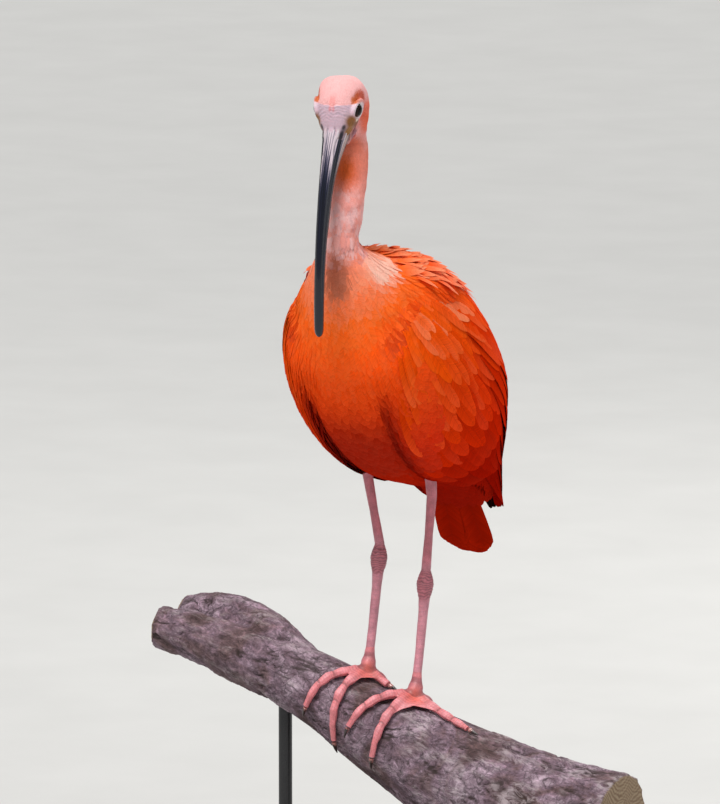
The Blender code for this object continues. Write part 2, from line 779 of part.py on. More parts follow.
def toe_path(leg, toe, shares):
    """Points along a toe that leaves the pad, comes down on the branch and bends round it, each with
    the way out of the bark."""
    _, heading, swing, length, start = toe
    joint = leg_points(leg)[-1]
    root, _ = bark_point(joint.x, start, TOE_RADIUS)
    path = []
    for share in shares:
        run = length * share
        turn = math.radians(heading + swing * share)
        x = joint.x + run * math.sin(turn)
        fat = TOE_RADIUS + (TOE_TIP_RADIUS - TOE_RADIUS) * share
        _, (_, _, radius) = bark_point(x, start, fat)
        angle = start + math.degrees(run * math.cos(turn) / (radius + fat))
        ground, (middle, up, _) = bark_point(x, angle, fat * 0.94)
        raised = joint + ground - root - Vector((0, 0, TOE_DROP))
        out = up * math.cos(math.radians(angle)) - Vector((0, math.sin(math.radians(angle)), 0))
        path.append((raised.lerp(ground, smooth_step(run / TOE_SETTLE)), out))
    return path


def toe_limb(name, leg, toe, shares, sizes, look, group, sides):
    """A toe or a claw: rings square to its path, level with the bark."""
    path = toe_path(leg, toe, shares)
    rings = []
    for i, (point, out) in enumerate(path):
        along = (path[min(i + 1, len(path) - 1)][0] - path[max(i - 1, 0)][0]).normalized()
        out = (out - along * out.dot(along)).normalized()
        across = along.cross(out)
        wide, deep = sizes[i]
        turns = spread(0, 2 * math.pi, sides + 1)[:-1]
        rings.append([point + across * math.cos(t) * wide + out * math.sin(t) * deep for t in turns])
    return loft(name, rings, look, group)


def web(leg, first, second, reach, group):
    """The small web between two toes, notched towards the joint."""
    toes = {toe[0]: toe for toe in leg["toes"]}

    def point(along, across):
        share = (0.04 + (reach - 0.04) * along) * (1 - WEB_NOTCH * math.sin(math.pi * across))
        (start, out_start), (end, out_end) = (toe_path(leg, toes[k], [share])[0] for k in (first, second))
        bulge = WEB_BULGE * 4 * across * (1 - across) * along
        return start.lerp(end, across) + out_start.lerp(out_end, across) * bulge

    return sheet(point, 3, 4, WEB_THICK, group)


def make_feet(looks, group):
    for side, leg in LEGS.items():
        joint = leg_points(leg)[-1]
        flat = Matrix.Diagonal((*(size / PAD[0] for size in PAD), 1.0))
        foot = ball("foot_" + side, joint - Vector((0, 0.5, PAD_DROP)), PAD[0], group, looks["leg"], 12, 8, flat)
        toes = [web(leg, *between, group) for between in leg["webs"]]
        for toe in leg["toes"]:
            name, _, _, length, _ = toe
            claw_from = 1 - CLAW_LENGTH / length
            shares = spread(0.0, claw_from, 7)
            sizes = []
            for share in shares:
                fat = TOE_RADIUS + (TOE_TIP_RADIUS - TOE_RADIUS) * share
                knuckle = 1 + 0.12 * math.sin(share * length / 14 * 2 * math.pi) ** 2
                sizes.append((fat * knuckle, fat * 0.92))
            toes.append(toe_limb("toe", leg, toe, shares, sizes, None, group, 7))
            shares = spread(claw_from + CLAW_GAP / length, 1.0, 5)
            sizes = [(2.1 * k, 2.3 * k) for k in (1.0, 0.86, 0.66, 0.42, 0.16)]
            claw = toe_limb(f"claw_{side}_{name}", leg, toe, shares, sizes, looks["claw"], group, 6)
            boolean(claw, [branch_loft("branch_cutter", None, group, GAP)], "DIFFERENCE")
        boolean(foot, toes, "UNION")
        cutters = [branch_loft("branch_cutter", None, group, GAP)]
        cutters.append(tarsus("tarsus_cutter", leg, None, group, GAP))
        boolean(foot, cutters, "DIFFERENCE")


def make_stand(looks, group):
    bm = bmesh.new()
    bmesh.ops.create_cube(bm, size=1.0)
    bmesh.ops.scale(bm, vec=Vector(BASE_SIZE) * MM, verts=bm.verts)
    bmesh.ops.translate(bm, vec=(0, 0, BASE_SIZE[2] / 2 * MM), verts=bm.verts)
    base = build_object("stand_base", bm, looks["base"], group)
    edge = base.modifiers.new("edge", "BEVEL")
    edge.width = BASE_EDGE * MM
    edge.segments = 3
    floor = BASE_SIZE[2] + GAP
    for name, x in zip(("stand_rod_right", "stand_rod_left"), ROD_PLACES):
        top = branch_frame(x)[0].z
        outline = (
            (0.0, top),
            (ROD_RADIUS, top),
            (ROD_RADIUS, floor + COLLAR_HEIGHT + 3),
            (COLLAR_RADIUS - 2, floor + COLLAR_HEIGHT),
            (COLLAR_RADIUS, floor + COLLAR_HEIGHT - 2),
            (COLLAR_RADIUS, floor),
            (0.0, floor),
        )
        bm = bmesh.new()
        points = [bm.verts.new((r * MM, 0, z * MM)) for r, z in outline]
        for a, b in zip(points, points[1:]):
            bm.edges.new((a, b))
        mesh = bpy.data.meshes.new(name)
        bm.to_mesh(mesh)
        bm.free()
        rod = bpy.data.objects.new(name, mesh)
        mesh.materials.append(looks["rod"])
        group.objects.link(rod)
        rod.location.x = x * MM
        screw = rod.modifiers.new("turned", "SCREW")
        screw.steps = screw.render_steps = 18
        screw.use_merge_vertices = True
        screw.merge_threshold = 0.00001
        screw.use_smooth_shade = True
        applied(rod)
        boolean(rod, [branch_loft("branch_cutter", None, group, GAP)], "DIFFERENCE")


def main():
    clear_scene()
    group = collection("scarlet_ibis")
    looks = {
        "plumage": material("plumage", (0.80, 0.09, 0.02), 0.7),
        "wing": material("wing_feathers", (0.72, 0.04, 0.01), 0.6),
        "skin": material("face_skin", (0.78, 0.42, 0.42), 0.55),
        "bill": material("bill_horn", (0.06, 0.06, 0.09), 0.35),
        "eye": material("eye_dark", (0.01, 0.008, 0.008), 0.08),
        "leg": material("leg_skin", (0.75, 0.28, 0.27), 0.5),
        "claw": material("claw_horn", (0.05, 0.03, 0.03), 0.4),
        "bark": material("bark", (0.22, 0.17, 0.17), 0.85),
        "base": material("stand_wood", (0.10, 0.06, 0.04), 0.45),
        "rod": material("stand_steel", (0.08, 0.08, 0.08), 0.4, 0.9),
    }
    make_head(looks, group)
    make_bill(looks, group)
    body_loft("neck", NECK_TOP + 0.012, NECK_END, 12, NECK_SIDES, looks["plumage"], group)
    make_torso(looks, group)
    make_wings(looks, group)
    make_tail(looks, group)
    make_perch(looks, group)
    make_legs(looks, group)
    make_feet(looks, group)
    make_stand(looks, group)


main()
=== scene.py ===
import math

import bmesh
import bpy
import numpy as np
from mathutils import Matrix, Vector, noise
from mathutils.bvhtree import BVHTree


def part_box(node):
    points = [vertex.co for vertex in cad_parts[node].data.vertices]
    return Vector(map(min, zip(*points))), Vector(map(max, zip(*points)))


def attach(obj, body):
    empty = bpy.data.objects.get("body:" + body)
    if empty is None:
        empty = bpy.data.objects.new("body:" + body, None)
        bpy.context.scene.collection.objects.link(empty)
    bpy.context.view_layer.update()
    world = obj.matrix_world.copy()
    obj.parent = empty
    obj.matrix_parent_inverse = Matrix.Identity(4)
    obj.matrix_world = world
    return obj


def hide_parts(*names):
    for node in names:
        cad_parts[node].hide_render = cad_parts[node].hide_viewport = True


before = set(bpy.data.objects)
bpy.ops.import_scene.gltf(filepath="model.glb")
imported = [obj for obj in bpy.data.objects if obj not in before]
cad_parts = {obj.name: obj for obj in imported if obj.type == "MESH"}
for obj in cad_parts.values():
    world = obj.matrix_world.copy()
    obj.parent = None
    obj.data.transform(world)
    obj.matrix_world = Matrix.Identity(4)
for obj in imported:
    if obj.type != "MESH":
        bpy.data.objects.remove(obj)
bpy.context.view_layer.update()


# Display stand. A bevelled board of dark stained wood with two turned steel rods in satin paint, each
# standing on the board by its collar, its top cut to fit the underside of the branch.

def new_look(name, roughness, sockets=None):
    """A material, the node tree of its pattern and its shader, with the sockets that stay constant set."""
    look = bpy.data.materials.new(name)
    look.use_nodes = True
    shader = look.node_tree.nodes["Principled BSDF"]
    for socket, value in {"Roughness": roughness, **(sockets or {})}.items():
        shader.inputs[socket].default_value = value
    return look, look.node_tree, shader


def node(tree, kind, inputs=None, **settings):
    """A node with its settings, and its sockets linked or set."""
    made = tree.nodes.new(kind)
    for name, value in settings.items():
        setattr(made, name, value)
    for socket, value in (inputs or {}).items():
        if isinstance(value, bpy.types.NodeSocket):
            tree.links.new(value, made.inputs[socket])
        else:
            made.inputs[socket].default_value = value
    return made


def stretched(tree, source, scale):
    return node(tree, "ShaderNodeMapping", {"Vector": source, "Scale": scale}).outputs["Vector"]


def placed(tree, scale, uv=None):
    """Object coordinates in metres, or a UV map of the piece, stretched."""
    if uv:
        return stretched(tree, node(tree, "ShaderNodeUVMap", uv_map=uv).outputs["UV"], scale)
    return stretched(tree, node(tree, "ShaderNodeTexCoord").outputs["Object"], scale)


def grain(tree, vector, scale, detail=4.0, roughness=0.55, distortion=0.0):
    """Cloudy noise, finer with more detail and streakier with more distortion."""
    inputs = {"Vector": vector, "Scale": scale, "Detail": detail}
    inputs |= {"Roughness": roughness, "Distortion": distortion}
    return node(tree, "ShaderNodeTexNoise", inputs).outputs["Fac"]


def ramp(tree, factor, stops):
    """Colours, or greys given as one number, at places from 0 to 1."""
    made = node(tree, "ShaderNodeValToRGB", {"Fac": factor})
    while len(made.color_ramp.elements) < len(stops):
        made.color_ramp.elements.new(0.5)
    for element, (place, colour) in zip(made.color_ramp.elements, stops):
        element.position = place
        element.color = (colour,) * 3 + (1,) if isinstance(colour, (int, float)) else (*colour, 1)
    return made.outputs["Color"]


def mixed(tree, factor, one, other, blend="MIX"):
    made = node(tree, "ShaderNodeMix", data_type="RGBA", blend_type=blend)
    for index, value in ((0, factor), (6, one), (7, other)):
        if isinstance(value, bpy.types.NodeSocket):
            tree.links.new(value, made.inputs[index])
        else:
            made.inputs[index].default_value = value if index == 0 else (*value, 1)
    return made.outputs[2]


def bumped(tree, shader, height, strength, distance, under=None):
    inputs = {"Height": height, "Strength": strength, "Distance": distance}
    if under:
        inputs["Normal"] = under
    made = node(tree, "ShaderNodeBump", inputs).outputs["Normal"]
    tree.links.new(made, shader.inputs["Normal"])
    return made


def shaded(tree, amount, colour, factor, *stops):
    """The colour multiplied by a ramp of the factor."""
    return mixed(tree, amount, colour, ramp(tree, factor, stops), "MULTIPLY")


def stand_wood():
    look, tree, shader = new_look("stand_wood", 0.38, {"Coat Weight": 0.25})
    figure = grain(tree, placed(tree, (4, 60, 40)), 1.2, 6, 0.6, 0.8)
    pores = grain(tree, placed(tree, (30, 900, 500)), 1.0, 3)
    stain = ramp(tree, figure, ((0.25, (0.035, 0.018, 0.010)), (0.6, (0.095, 0.050, 0.027)),
                                (0.8, (0.16, 0.09, 0.05))))
    colour = shaded(tree, 0.35, stain, pores, (0.35, 0.25), (0.6, 1.0))
    tree.links.new(colour, shader.inputs["Base Color"])
    bumped(tree, shader, pores, 0.15, 0.0003)
    return look


def rod_paint():
    look, tree, shader = new_look("rod_paint", 0.36, {"Metallic": 0.7})
    speckle = grain(tree, placed(tree, (1, 1, 1)), 2600, 2)
    colour = ramp(tree, speckle, ((0.3, (0.030, 0.030, 0.032)), (0.7, (0.060, 0.060, 0.062))))
    tree.links.new(colour, shader.inputs["Base Color"])
    bumped(tree, shader, speckle, 0.12, 0.0002)
    return look


def dress(names, look):
    for name in names:
        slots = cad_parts[name].data.materials
        slots.clear()
        slots.append(look)


dress(("stand_base",), stand_wood())
dress(("stand_rod_left", "stand_rod_right"), rod_paint())


# Branch. A cut length of a thick old limb that slopes down to the bird's left, with a second limb that
# joins it from behind: dry mauve-grey bark, rubbed pale on its ridges, cracked and pitted, sawn at its ends.

MM = 0.001
LEVEL = 196.0
BARK_GRAIN = 1.35
BRANCH_FALL = math.radians(17)
FOOTING, FOOTING_X, FOOTING_FRONT = 66, -2, 34
ENDS_PAST = 150


def linked(name, data):
    made = bpy.data.objects.new(name, data)
    bpy.context.scene.collection.objects.link(made)
    return made


def object_from(name, bm):
    mesh = bpy.data.meshes.new(name)
    bm.to_mesh(mesh)
    bm.free()
    return linked(name, mesh)


def applied(piece):
    """Replaces the piece's mesh with what its modifiers make of it."""
    bpy.context.view_layer.update()
    graph = bpy.context.evaluated_depsgraph_get()
    mesh = bpy.data.meshes.new_from_object(piece.evaluated_get(graph))
    piece.modifiers.clear()
    piece.data = mesh
    return piece


def fused(name, bm, voxel, rounds):
    """One closed skin over everything in the bmesh, its creases filled and smoothed."""
    piece = object_from(name, bm)
    remesh = piece.modifiers.new("skin", "REMESH")
    remesh.mode = "VOXEL"
    remesh.voxel_size = voxel * MM
    remesh.adaptivity = 0.0
    if rounds:
        smooth = piece.modifiers.new("smooth", "SMOOTH")
        smooth.factor = 0.5
        smooth.iterations = rounds
    applied(piece)
    piece.data.shade_smooth()
    return piece


def from_solids(names):
    bm = bmesh.new()
    for name in names:
        bm.from_mesh(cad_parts[name].data)
    bmesh.ops.remove_doubles(bm, verts=bm.verts, dist=1e-6)
    return bm


def points_of(piece, what="co"):
    """The places or the normals of a mesh, places in millimetres."""
    found = np.zeros(len(piece.data.vertices) * 3, np.float32)
    piece.data.vertices.foreach_get(what, found)
    found = found.reshape(-1, 3).astype(float)
    return found / MM if what == "co" else found


def set_points(piece, points):
    piece.data.vertices.foreach_set("co", (points * MM).astype(np.float32).ravel())
    piece.data.update()


def painted(piece, name, values):
    """A value or a colour for each vertex, for the piece's material to read."""
    values = np.asarray(values, np.float32)
    if values.ndim == 1:
        made = piece.data.attributes.new(name, "FLOAT", "POINT")
        made.data.foreach_set("value", values)
    elif name == "grained":
        made = piece.data.attributes.new(name, "FLOAT_VECTOR", "POINT")
        made.data.foreach_set("vector", values.ravel())
    else:
        made = piece.data.attributes.new(name, "FLOAT_COLOR", "POINT")
        opaque = np.ones((len(values), 1), np.float32)
        made.data.foreach_set("color", np.hstack((values, opaque)).ravel())


def step(low, high, value):
    share = np.clip((value - low) / (high - low), 0, 1)
    return share * share * (3 - 2 * share)


def rough(points, size, octaves=3, seed=0.0):
    """Smooth noise between about -1 and 1, its lumps about size millimetres across."""
    shift = Vector((seed, seed * 1.7, -seed))
    return np.array([noise.fractal(Vector(p) / size + shift, 0.8, 2.1, octaves) for p in points])


def bell(value, centre, width):
    """1 where the value is at the centre, and next to nothing two widths away."""
    return np.exp(-(((value - centre) / width) ** 2))


def near(points, centre, size):
    return np.exp(-(np.linalg.norm((points - centre) / size, axis=-1) ** 2))


def attribute(tree, name, output="Color"):
    return node(tree, "ShaderNodeAttribute", attribute_name=name).outputs[output]


def cracked(tree, vector, scale, randomness=1.0):
    """How far it is to the edge of the cell or plate that a point is in."""
    inputs = {"Vector": vector, "Scale": scale, "Randomness": randomness}
    return node(tree, "ShaderNodeTexVoronoi", inputs, feature="DISTANCE_TO_EDGE").outputs["Distance"]


def bark_look():
    look, tree, shader = new_look("bark", 0.85)
    grained = attribute(tree, "grained", "Vector")
    plain = placed(tree, (1, 1, 1))
    patches = grain(tree, plain, 21, 5, 0.6, 1.2)
    mottle = grain(tree, stretched(tree, grained, (80, 125, 125)), 1.0, 8, 0.72, 1.2)
    wood = grain(tree, stretched(tree, grained, (120, 360, 360)), 1.0, 6, 0.7, 1.5)
    specks = grain(tree, plain, 620, 4, 0.75)
    colour = ramp(tree, patches, ((0.30, (0.080, 0.044, 0.038)), (0.43, (0.160, 0.100, 0.110)),
                                  (0.52, (0.235, 0.160, 0.205)), (0.64, (0.390, 0.300, 0.360))))
    colour = shaded(tree, 0.75, colour, mottle, (0.36, (0.26, 0.18, 0.17)), (0.47, (0.75, 0.68, 0.70)),
                    (0.55, (1.15, 1.1, 1.1)), (0.66, (2.1, 2.0, 2.05)))
    colour = shaded(tree, 0.35, colour, wood, (0.34, 0.30), (0.5, 0.95), (0.68, 1.45))
    stray = node(tree, "ShaderNodeTexNoise", {"Vector": plain, "Scale": 90, "Detail": 4}).outputs["Color"]
    plates = cracked(tree, mixed(tree, 0.02, plain, stray, "ADD"), 105)
    checks = mixed(tree, ramp(tree, patches, ((0.46, 0.0), (0.56, 1.0))), (1, 1, 1),
                   ramp(tree, plates, ((0.0, 0.30), (0.07, 1.0))))
    colour = mixed(tree, 0.8, colour, checks, "MULTIPLY")
    colour = shaded(tree, 0.45, colour, specks, (0.36, 0.35), (0.6, 1.2))
    crust = mixed(tree, attribute(tree, "crust"), (0, 0, 0),
                  ramp(tree, mottle, ((0.44, 0.0), (0.56, 0.75))))
    colour = mixed(tree, crust, colour, (0.46, 0.39, 0.41))
    ridge = attribute(tree, "ridge", "Fac")
    worn = mixed(tree, ramp(tree, wood, ((0.42, 0.0), (0.60, 1.0))), (0, 0, 0),
                 ramp(tree, ridge, ((0.52, 0.0), (0.85, 0.8))))
    colour = mixed(tree, worn, colour, (0.50, 0.43, 0.44))
    sunk = ramp(tree, ridge, ((0.12, 0.85), (0.40, 0.0)))
    colour = mixed(tree, sunk, colour, (0.028, 0.016, 0.013))
    rings = attribute(tree, "rings", "Fac")
    end_grain = ramp(tree, rings, ((0.2, (0.30, 0.19, 0.11)), (0.8, (0.50, 0.37, 0.24))))
    end_grain = shaded(tree, 0.5, end_grain, specks, (0.3, 0.5), (0.7, 1.0))
    colour = mixed(tree, attribute(tree, "sawn", "Fac"), colour, end_grain)
    tree.links.new(colour, shader.inputs["Base Color"])
    under = None
    for height, strength, distance in ((mottle, 0.8, 0.0022), (checks, 0.5, 0.0010), (wood, 0.4, 0.0010),
                                       (specks, 0.5, 0.0005)):
        under = bumped(tree, shader, height, strength, distance, under)
    return look


def finish(piece, look, slot, *replaced):
    piece.data.materials.clear()
    piece.data.materials.append(look)
    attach(piece, "root")
    if replaced:
        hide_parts(*replaced)
    return piece


branch = fused("branch_bark", from_solids(("perch",)), BARK_GRAIN, 2)
points, normals = points_of(branch), points_of(branch, "normal")
fall, rise = math.cos(BRANCH_FALL), math.sin(BRANCH_FALL)
grained = points @ np.array(((fall, 0, -rise), (0, 1, 0), (rise, 0, fall))).T
warped = grained * (0.30, 1.0, 1.0) + 2.5 * rough(points, 22, 2, 11.0)[:, None]
lumps = rough(points, 34, 3, 2.0)
folds = rough(warped, 8, 4, 5.0)
cracks = np.clip(1 - np.abs(rough(warped, 11, 3, 15.0)) / 0.10, 0, 1)
cracks = cracks * step(-0.25, 0.25, rough(points, 26, 2, 21.0))
pits = rough(points, 4.2, 2, 9.0)
footing = bell(points[:, 0], FOOTING_X, FOOTING) * (points[:, 1] < FOOTING_FRONT)
from_middle = points[:, 0] - np.mean(points[:, 0])
end_cut = step(0.75, 0.93, np.abs(normals[:, 0])) * (np.abs(from_middle) > ENDS_PAST)
relief = 1.5 * lumps + 1.1 * folds + 0.4 * pits - 1.5 * cracks
underfoot = np.clip(relief * (1 - 0.6 * footing), -1.0, 0.12)
relief = np.where(footing > 0.25, underfoot, relief) * (1 - end_cut)
set_points(branch, points + normals * relief[:, None])
painted(branch, "ridge", 0.5 + 0.34 * folds + 0.14 * lumps - 0.45 * cracks)
painted(branch, "sawn", end_cut)
crust = step(30, 110, points[:, 0]) * step(-0.15, 0.45, rough(points, 20, 3, 31.0))
painted(branch, "crust", np.repeat(crust[:, None], 3, axis=1))
ends = np.sign(from_middle)
pith = np.stack([np.mean(points[(end_cut > 0.9) & (ends == way)], axis=0) for way in (-1, 1)])
off_pith = (points - pith[(ends > 0).astype(int)])[:, 1:]
inward = np.linalg.norm(off_pith, axis=1) + 0.8 * rough(points, 9, 2, 3.0)
yearly = 1.5 + 0.5 * rough(points, 60, 1, 7.0)
painted(branch, "rings", 0.5 + 0.5 * np.sin(2 * np.pi * inward / yearly))
painted(branch, "grained", grained * MM)
finish(branch, bark_look(), "bark", "perch")


# Legs. Long bare shanks and tarsi of scaly pink-mauve skin over bone, with swollen wrinkled ankles, and
# feet whose three front toes grip the branch, knuckled and scuted, a small web between two of them.

LEG_GRAIN = 0.5
TARSUS_SCUTE, TOE_SCUTE = 3.3, 2.1
TOES = ("inner", "middle", "outer", "hind")
KNUCKLES, CREASES = (20.0, 34.0, 46.0), (6.5, 8.0, 27.0, 40.0)
WEB_WAY = np.array((0.5, -0.87, -0.2))
ANKLE_FROM, ANKLE_TO = 3.0, 22.0
TARSUS_TINT, TOE_TINT, WEB_TINT = np.array((0.66, 0.27, 0.33)), (0.80, 0.24, 0.265), (0.90, 0.15, 0.08)
ANKLE_TINT, SHANK_TINT = (0.50, 0.120, 0.150), (0.60, 0.18, 0.22)
# Painted highlight on the knuckles' upper faces.
KNUCKLE_HIGHLIGHT = np.array((0.10, 0.09, 0.10))


def leg_look():
    look, tree, shader = new_look("leg_skin", 0.42, {
        "Subsurface Weight": 0.12, "Subsurface Radius": (0.004, 0.0015, 0.001), "Subsurface Scale": 0.6})
    plain = placed(tree, (1, 1, 1))
    mottle = grain(tree, plain, 210, 5, 0.6)
    net = ramp(tree, cracked(tree, plain, 900, 0.8), ((0.0, 0.0), (0.12, 1.0)))
    colour = shaded(tree, 0.4, attribute(tree, "tint"), mottle, (0.3, 0.55), (0.7, 1.35))
    tree.links.new(mixed(tree, 0.18, colour, net, "MULTIPLY"), shader.inputs["Base Color"])
    first = bumped(tree, shader, net, 0.25, 0.0003)
    bumped(tree, shader, mottle, 0.2, 0.0005, first)
    return look


def claw_look():
    look, tree, shader = new_look("claw_horn", 0.3, {"Coat Weight": 0.3})
    streaks = grain(tree, placed(tree, (400, 400, 400)), 1.0, 3)
    reach = node(tree, "ShaderNodeMath", {0: attribute(tree, "reach", "Fac"), 1: streaks}, operation="ADD")
    colour = ramp(tree, reach.outputs[0], ((0.55, (0.62, 0.26, 0.24)), (0.85, (0.22, 0.10, 0.09)),
                                           (1.05, (0.035, 0.022, 0.022))))
    tree.links.new(colour, shader.inputs["Base Color"])
    return look


def ball(bm, centre, radius):
    made = bmesh.ops.create_icosphere(bm, subdivisions=2, radius=radius * MM)["verts"]
    bmesh.ops.translate(bm, vec=Vector(centre) * MM, verts=made)


def groove(distance, spacing, width):
    """1 in the crease between two scutes, which come every spacing, and 0 on the scutes."""
    off = np.abs((distance / spacing) % 1 - 0.5) * spacing
    return bell(off, spacing / 2, width)


def toward(start, end, share):
    """Points or colours moved from the start to the end by a share for each."""
    return start + (np.asarray(end) - start) * share[..., None]


def eased(piece, weight, rounds):
    """Evens out the surface where the weight is high."""
    points = points_of(piece)
    ends = np.zeros(len(piece.data.edges) * 2, np.int32)
    piece.data.edges.foreach_get("vertices", ends)
    one, other = np.concatenate((ends[::2], ends[1::2])), np.concatenate((ends[1::2], ends[::2]))
    count = np.maximum(np.bincount(one, minlength=len(points)), 1)
    for _ in range(rounds):
        mean = np.stack([np.bincount(one, points[other, k], len(points)) / count for k in range(3)], -1)
        points = toward(points, mean, weight)
    set_points(piece, points)


leg_skin_look, claw_horn_look = leg_look(), claw_look()
for side in ("left", "right"):
    low, high = (np.array(corner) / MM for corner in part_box("tarsus_" + side))
    joint = np.array(((low[0] + high[0]) / 2, low[1] + 4.5, low[2] + 1.0))
    shank_low, shank_high = (np.array(corner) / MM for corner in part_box("shank_" + side))
    bm = from_solids((f"shank_{side}", f"tarsus_{side}", f"foot_{side}"))
    ankle_x = shank_low[0] + 4 if side == "left" else shank_high[0] - 4
    ball(bm, (ankle_x, shank_high[1] - 3.4, high[2] - 0.5), 3.0)
    ball(bm, joint + (0, 1.6, 6.0), 4.0)
    ball(bm, joint, 4.8)
    ball(bm, joint - (0, 2.5, 1.5), 4.7)
    leg = fused("leg_" + side, bm, LEG_GRAIN, 3)
    eased(leg, 0.9 * near(points_of(leg), joint + (0, 0, 2), 11.0), 50)
    points, normals = points_of(leg), points_of(leg, "normal")
    drop = high[2] - points[:, 2]
    reach = np.linalg.norm(points - joint, axis=1)
    on_toe = step(7.0, 10.0, reach) * (points[:, 2] < joint[2] + 6)
    on_tarsus = step(ANKLE_TO - 2, ANKLE_TO + 3, drop) * (1 - on_toe) * step(3, 7, points[:, 2] - joint[2])
    on_ankle = step(ANKLE_FROM - 6, ANKLE_FROM, drop) * (1 - step(ANKLE_TO - 4, ANKLE_TO + 2, drop))
    wander = rough(points, 7.0, 2, 3.0)
    front = step(-0.1, 0.6, -normals[:, 1])
    upward = step(-0.1, 0.5, normals[:, 2])
    shin = groove(drop + 0.8 * wander, TARSUS_SCUTE, 0.34) * front * on_tarsus
    scales = groove(reach + 0.5 * wander, TOE_SCUTE, 0.30) * on_toe * (0.3 + 0.7 * upward)
    rings = groove(drop + 2.2 * wander, 1.9, 0.36) * on_ankle
    folds = sum(bell(reach, place, 1.0) for place in CREASES)
    folds = folds * (0.4 + 0.6 * upward) * (points[:, 2] < joint[2] + 9)
    knuckle = sum(bell(reach, place, 3.4) for place in KNUCKLES) * on_toe
    web = near(points, joint + WEB_WAY * 10.0, 8.0) * step(2, 5, reach)
    relief = 0.55 * knuckle - 0.55 * on_toe * step(8, 16, reach) * (1 - web) - 0.25 * step(38, 60, reach)
    relief = relief - 0.07 * shin - 0.15 * scales - 0.34 * rings - 0.36 * folds + 0.09 * wander
    set_points(leg, points + normals * relief[:, None])
    tint = TARSUS_TINT * (1.12 if side == "left" else 1.0)
    tint = toward(tint, TOE_TINT, step(-2, 16, reach * (points[:, 2] < joint[2] + 12)))
    tint = toward(tint, SHANK_TINT, 1 - step(-12, 4, drop))
    tint = toward(tint, ANKLE_TINT, 0.6 * on_ankle)
    tint = toward(tint, WEB_TINT, 0.85 * web)
    # Painted shade in the grooves between scutes, in the ankle's wrinkles and in the toes' creases.
    dark = np.clip(0.12 * shin + 0.22 * scales + 0.50 * rings + 0.42 * folds, 0, 0.8)
    tint = tint * (1 - dark[:, None]) * (1 + 0.16 * wander[:, None])
    # Painted highlight on the knuckles where they face up.
    tint = tint + KNUCKLE_HIGHLIGHT * (knuckle * upward)[:, None]
    painted(leg, "tint", np.clip(tint, 0, 1))
    finish(leg, leg_skin_look, "leg_skin", f"shank_{side}", f"tarsus_{side}", f"foot_{side}")
    for toe in TOES:
        name = f"claw_{side}_{toe}"
        claw = object_from(name + "_horn", from_solids((name,)))
        rounded = claw.modifiers.new("round", "SUBSURF")
        rounded.levels = rounded.render_levels = 2
        applied(claw)
        claw.data.shade_smooth()
        away = np.linalg.norm(points_of(claw) - joint, axis=1)
        painted(claw, "reach", (away - away.min()) / (away.max() - away.min()))
        finish(claw, claw_horn_look, "claw_horn", name)


# Skin. One skin from the bill's base to the tail under all the feathers, tinted as they are, and bare on
# the face: fine crosswise wrinkles on the forehead, fat pale lids, brown lores and a fold at the gape.

BODY = (
    (-66, 424, 12.0, 12.5),
    (-66.5, 385, 13.0, 14.0),
    (-77, 352, 15.5, 15.0),
    (-81, 327, 16.0, 15.6),
    (-68, 301, 31.5, 32.5),
    (-44, 273, 58.0, 54.5),
    (-8, 237, 72.0, 64.5),
    (32, 201, 66.5, 64.0),
    (64, 172, 47.0, 53.0),
    (87, 150, 29.0, 39.0),
    (104, 127, 18.0, 30.0),
    (118, 104, 12.0, 24.0),
    (130, 82, 8.0, 17.0),
)
SPINE_STEPS, BODY_FROM, NECK_TO = 20, 2.4, 3.8
RUMP_FROM, RUMP_TO = 8.7, 10.2
HEAD_MIDDLE = np.array((-1.5, -76.0, 430.0 + LEVEL))
HEAD_TURN, HEAD_PITCH = math.radians(7.5), math.radians(58)
HEAD = (
    (-18.6, 3.5, 4.5, 4.5),
    (-17.6, 8.0, 9.5, 9.5),
    (-15.2, 12.0, 14.0, 14.2),
    (-11.0, 15.0, 17.2, 16.6),
    (-4.0, 16.8, 19.6, 16.9),
    (4.0, 16.6, 20.2, 16.1),
    (11.0, 14.4, 18.4, 14.8),
    (17.0, 11.2, 14.4, 12.6),
    (21.0, 8.8, 11.6, 10.4),
    (23.0, 7.6, 10.2, 8.6),
)
EYE_ALONG, EYE_UP, EYE_OUT, EYE_RADIUS = 6.0, 2.5, 12.0, 6.0
WRINKLE_STEP, FOLD_STEP = 2.1, 2.0
LID_SIZE, LID_THICK, LID_PLACE, LID_FORWARD = (6.8, 5.8), 1.4, (6.2, 2.5, 15.0), 0.24
WING = (
    (4.05, 62, 92, 1.0),
    (4.35, 46, 122, 2.2),
    (5.0, 30, 140, 3.2),
    (6.0, 15, 149, 4.4),
    (7.0, 8, 151, 4.6),
    (8.0, 5, 146, 4.0),
    (9.0, 5, 130, 3.2),
    (10.0, 10, 106, 2.6),
    (10.6, 17, 86, 2.0),
    (11.25, 25, 64, 1.0),
)
WING_HOLLOW = (0.46, 0.11, 4.2)
WING_EDGE, WING_LIP, WING_SWELL = 1.2, 4.0, 2.6
SHOULDER_HUMP = 4.5
NECK_COAT, BODY_COAT, HEAD_COAT = 1.5, 3.2, 0.8
NECK_TOP = 398
# Where bare skin starts along the skull, at angles round it from the crown to the throat.
BARE_TURNS = (0, 8, 25, 40, 54, 68, 80, 92, 102, 112, 126, 140, 158, 180)
BARE_FROM = (10.2, 8.8, 8.0, 6.8, 5.0, 2.8, 0.0, 0.0, 4.0, 11.5, 16.0, 21.0, 26.0, 28.0)


def unit(v):
    return v / np.maximum(np.linalg.norm(v, axis=-1, keepdims=True), 1e-9)


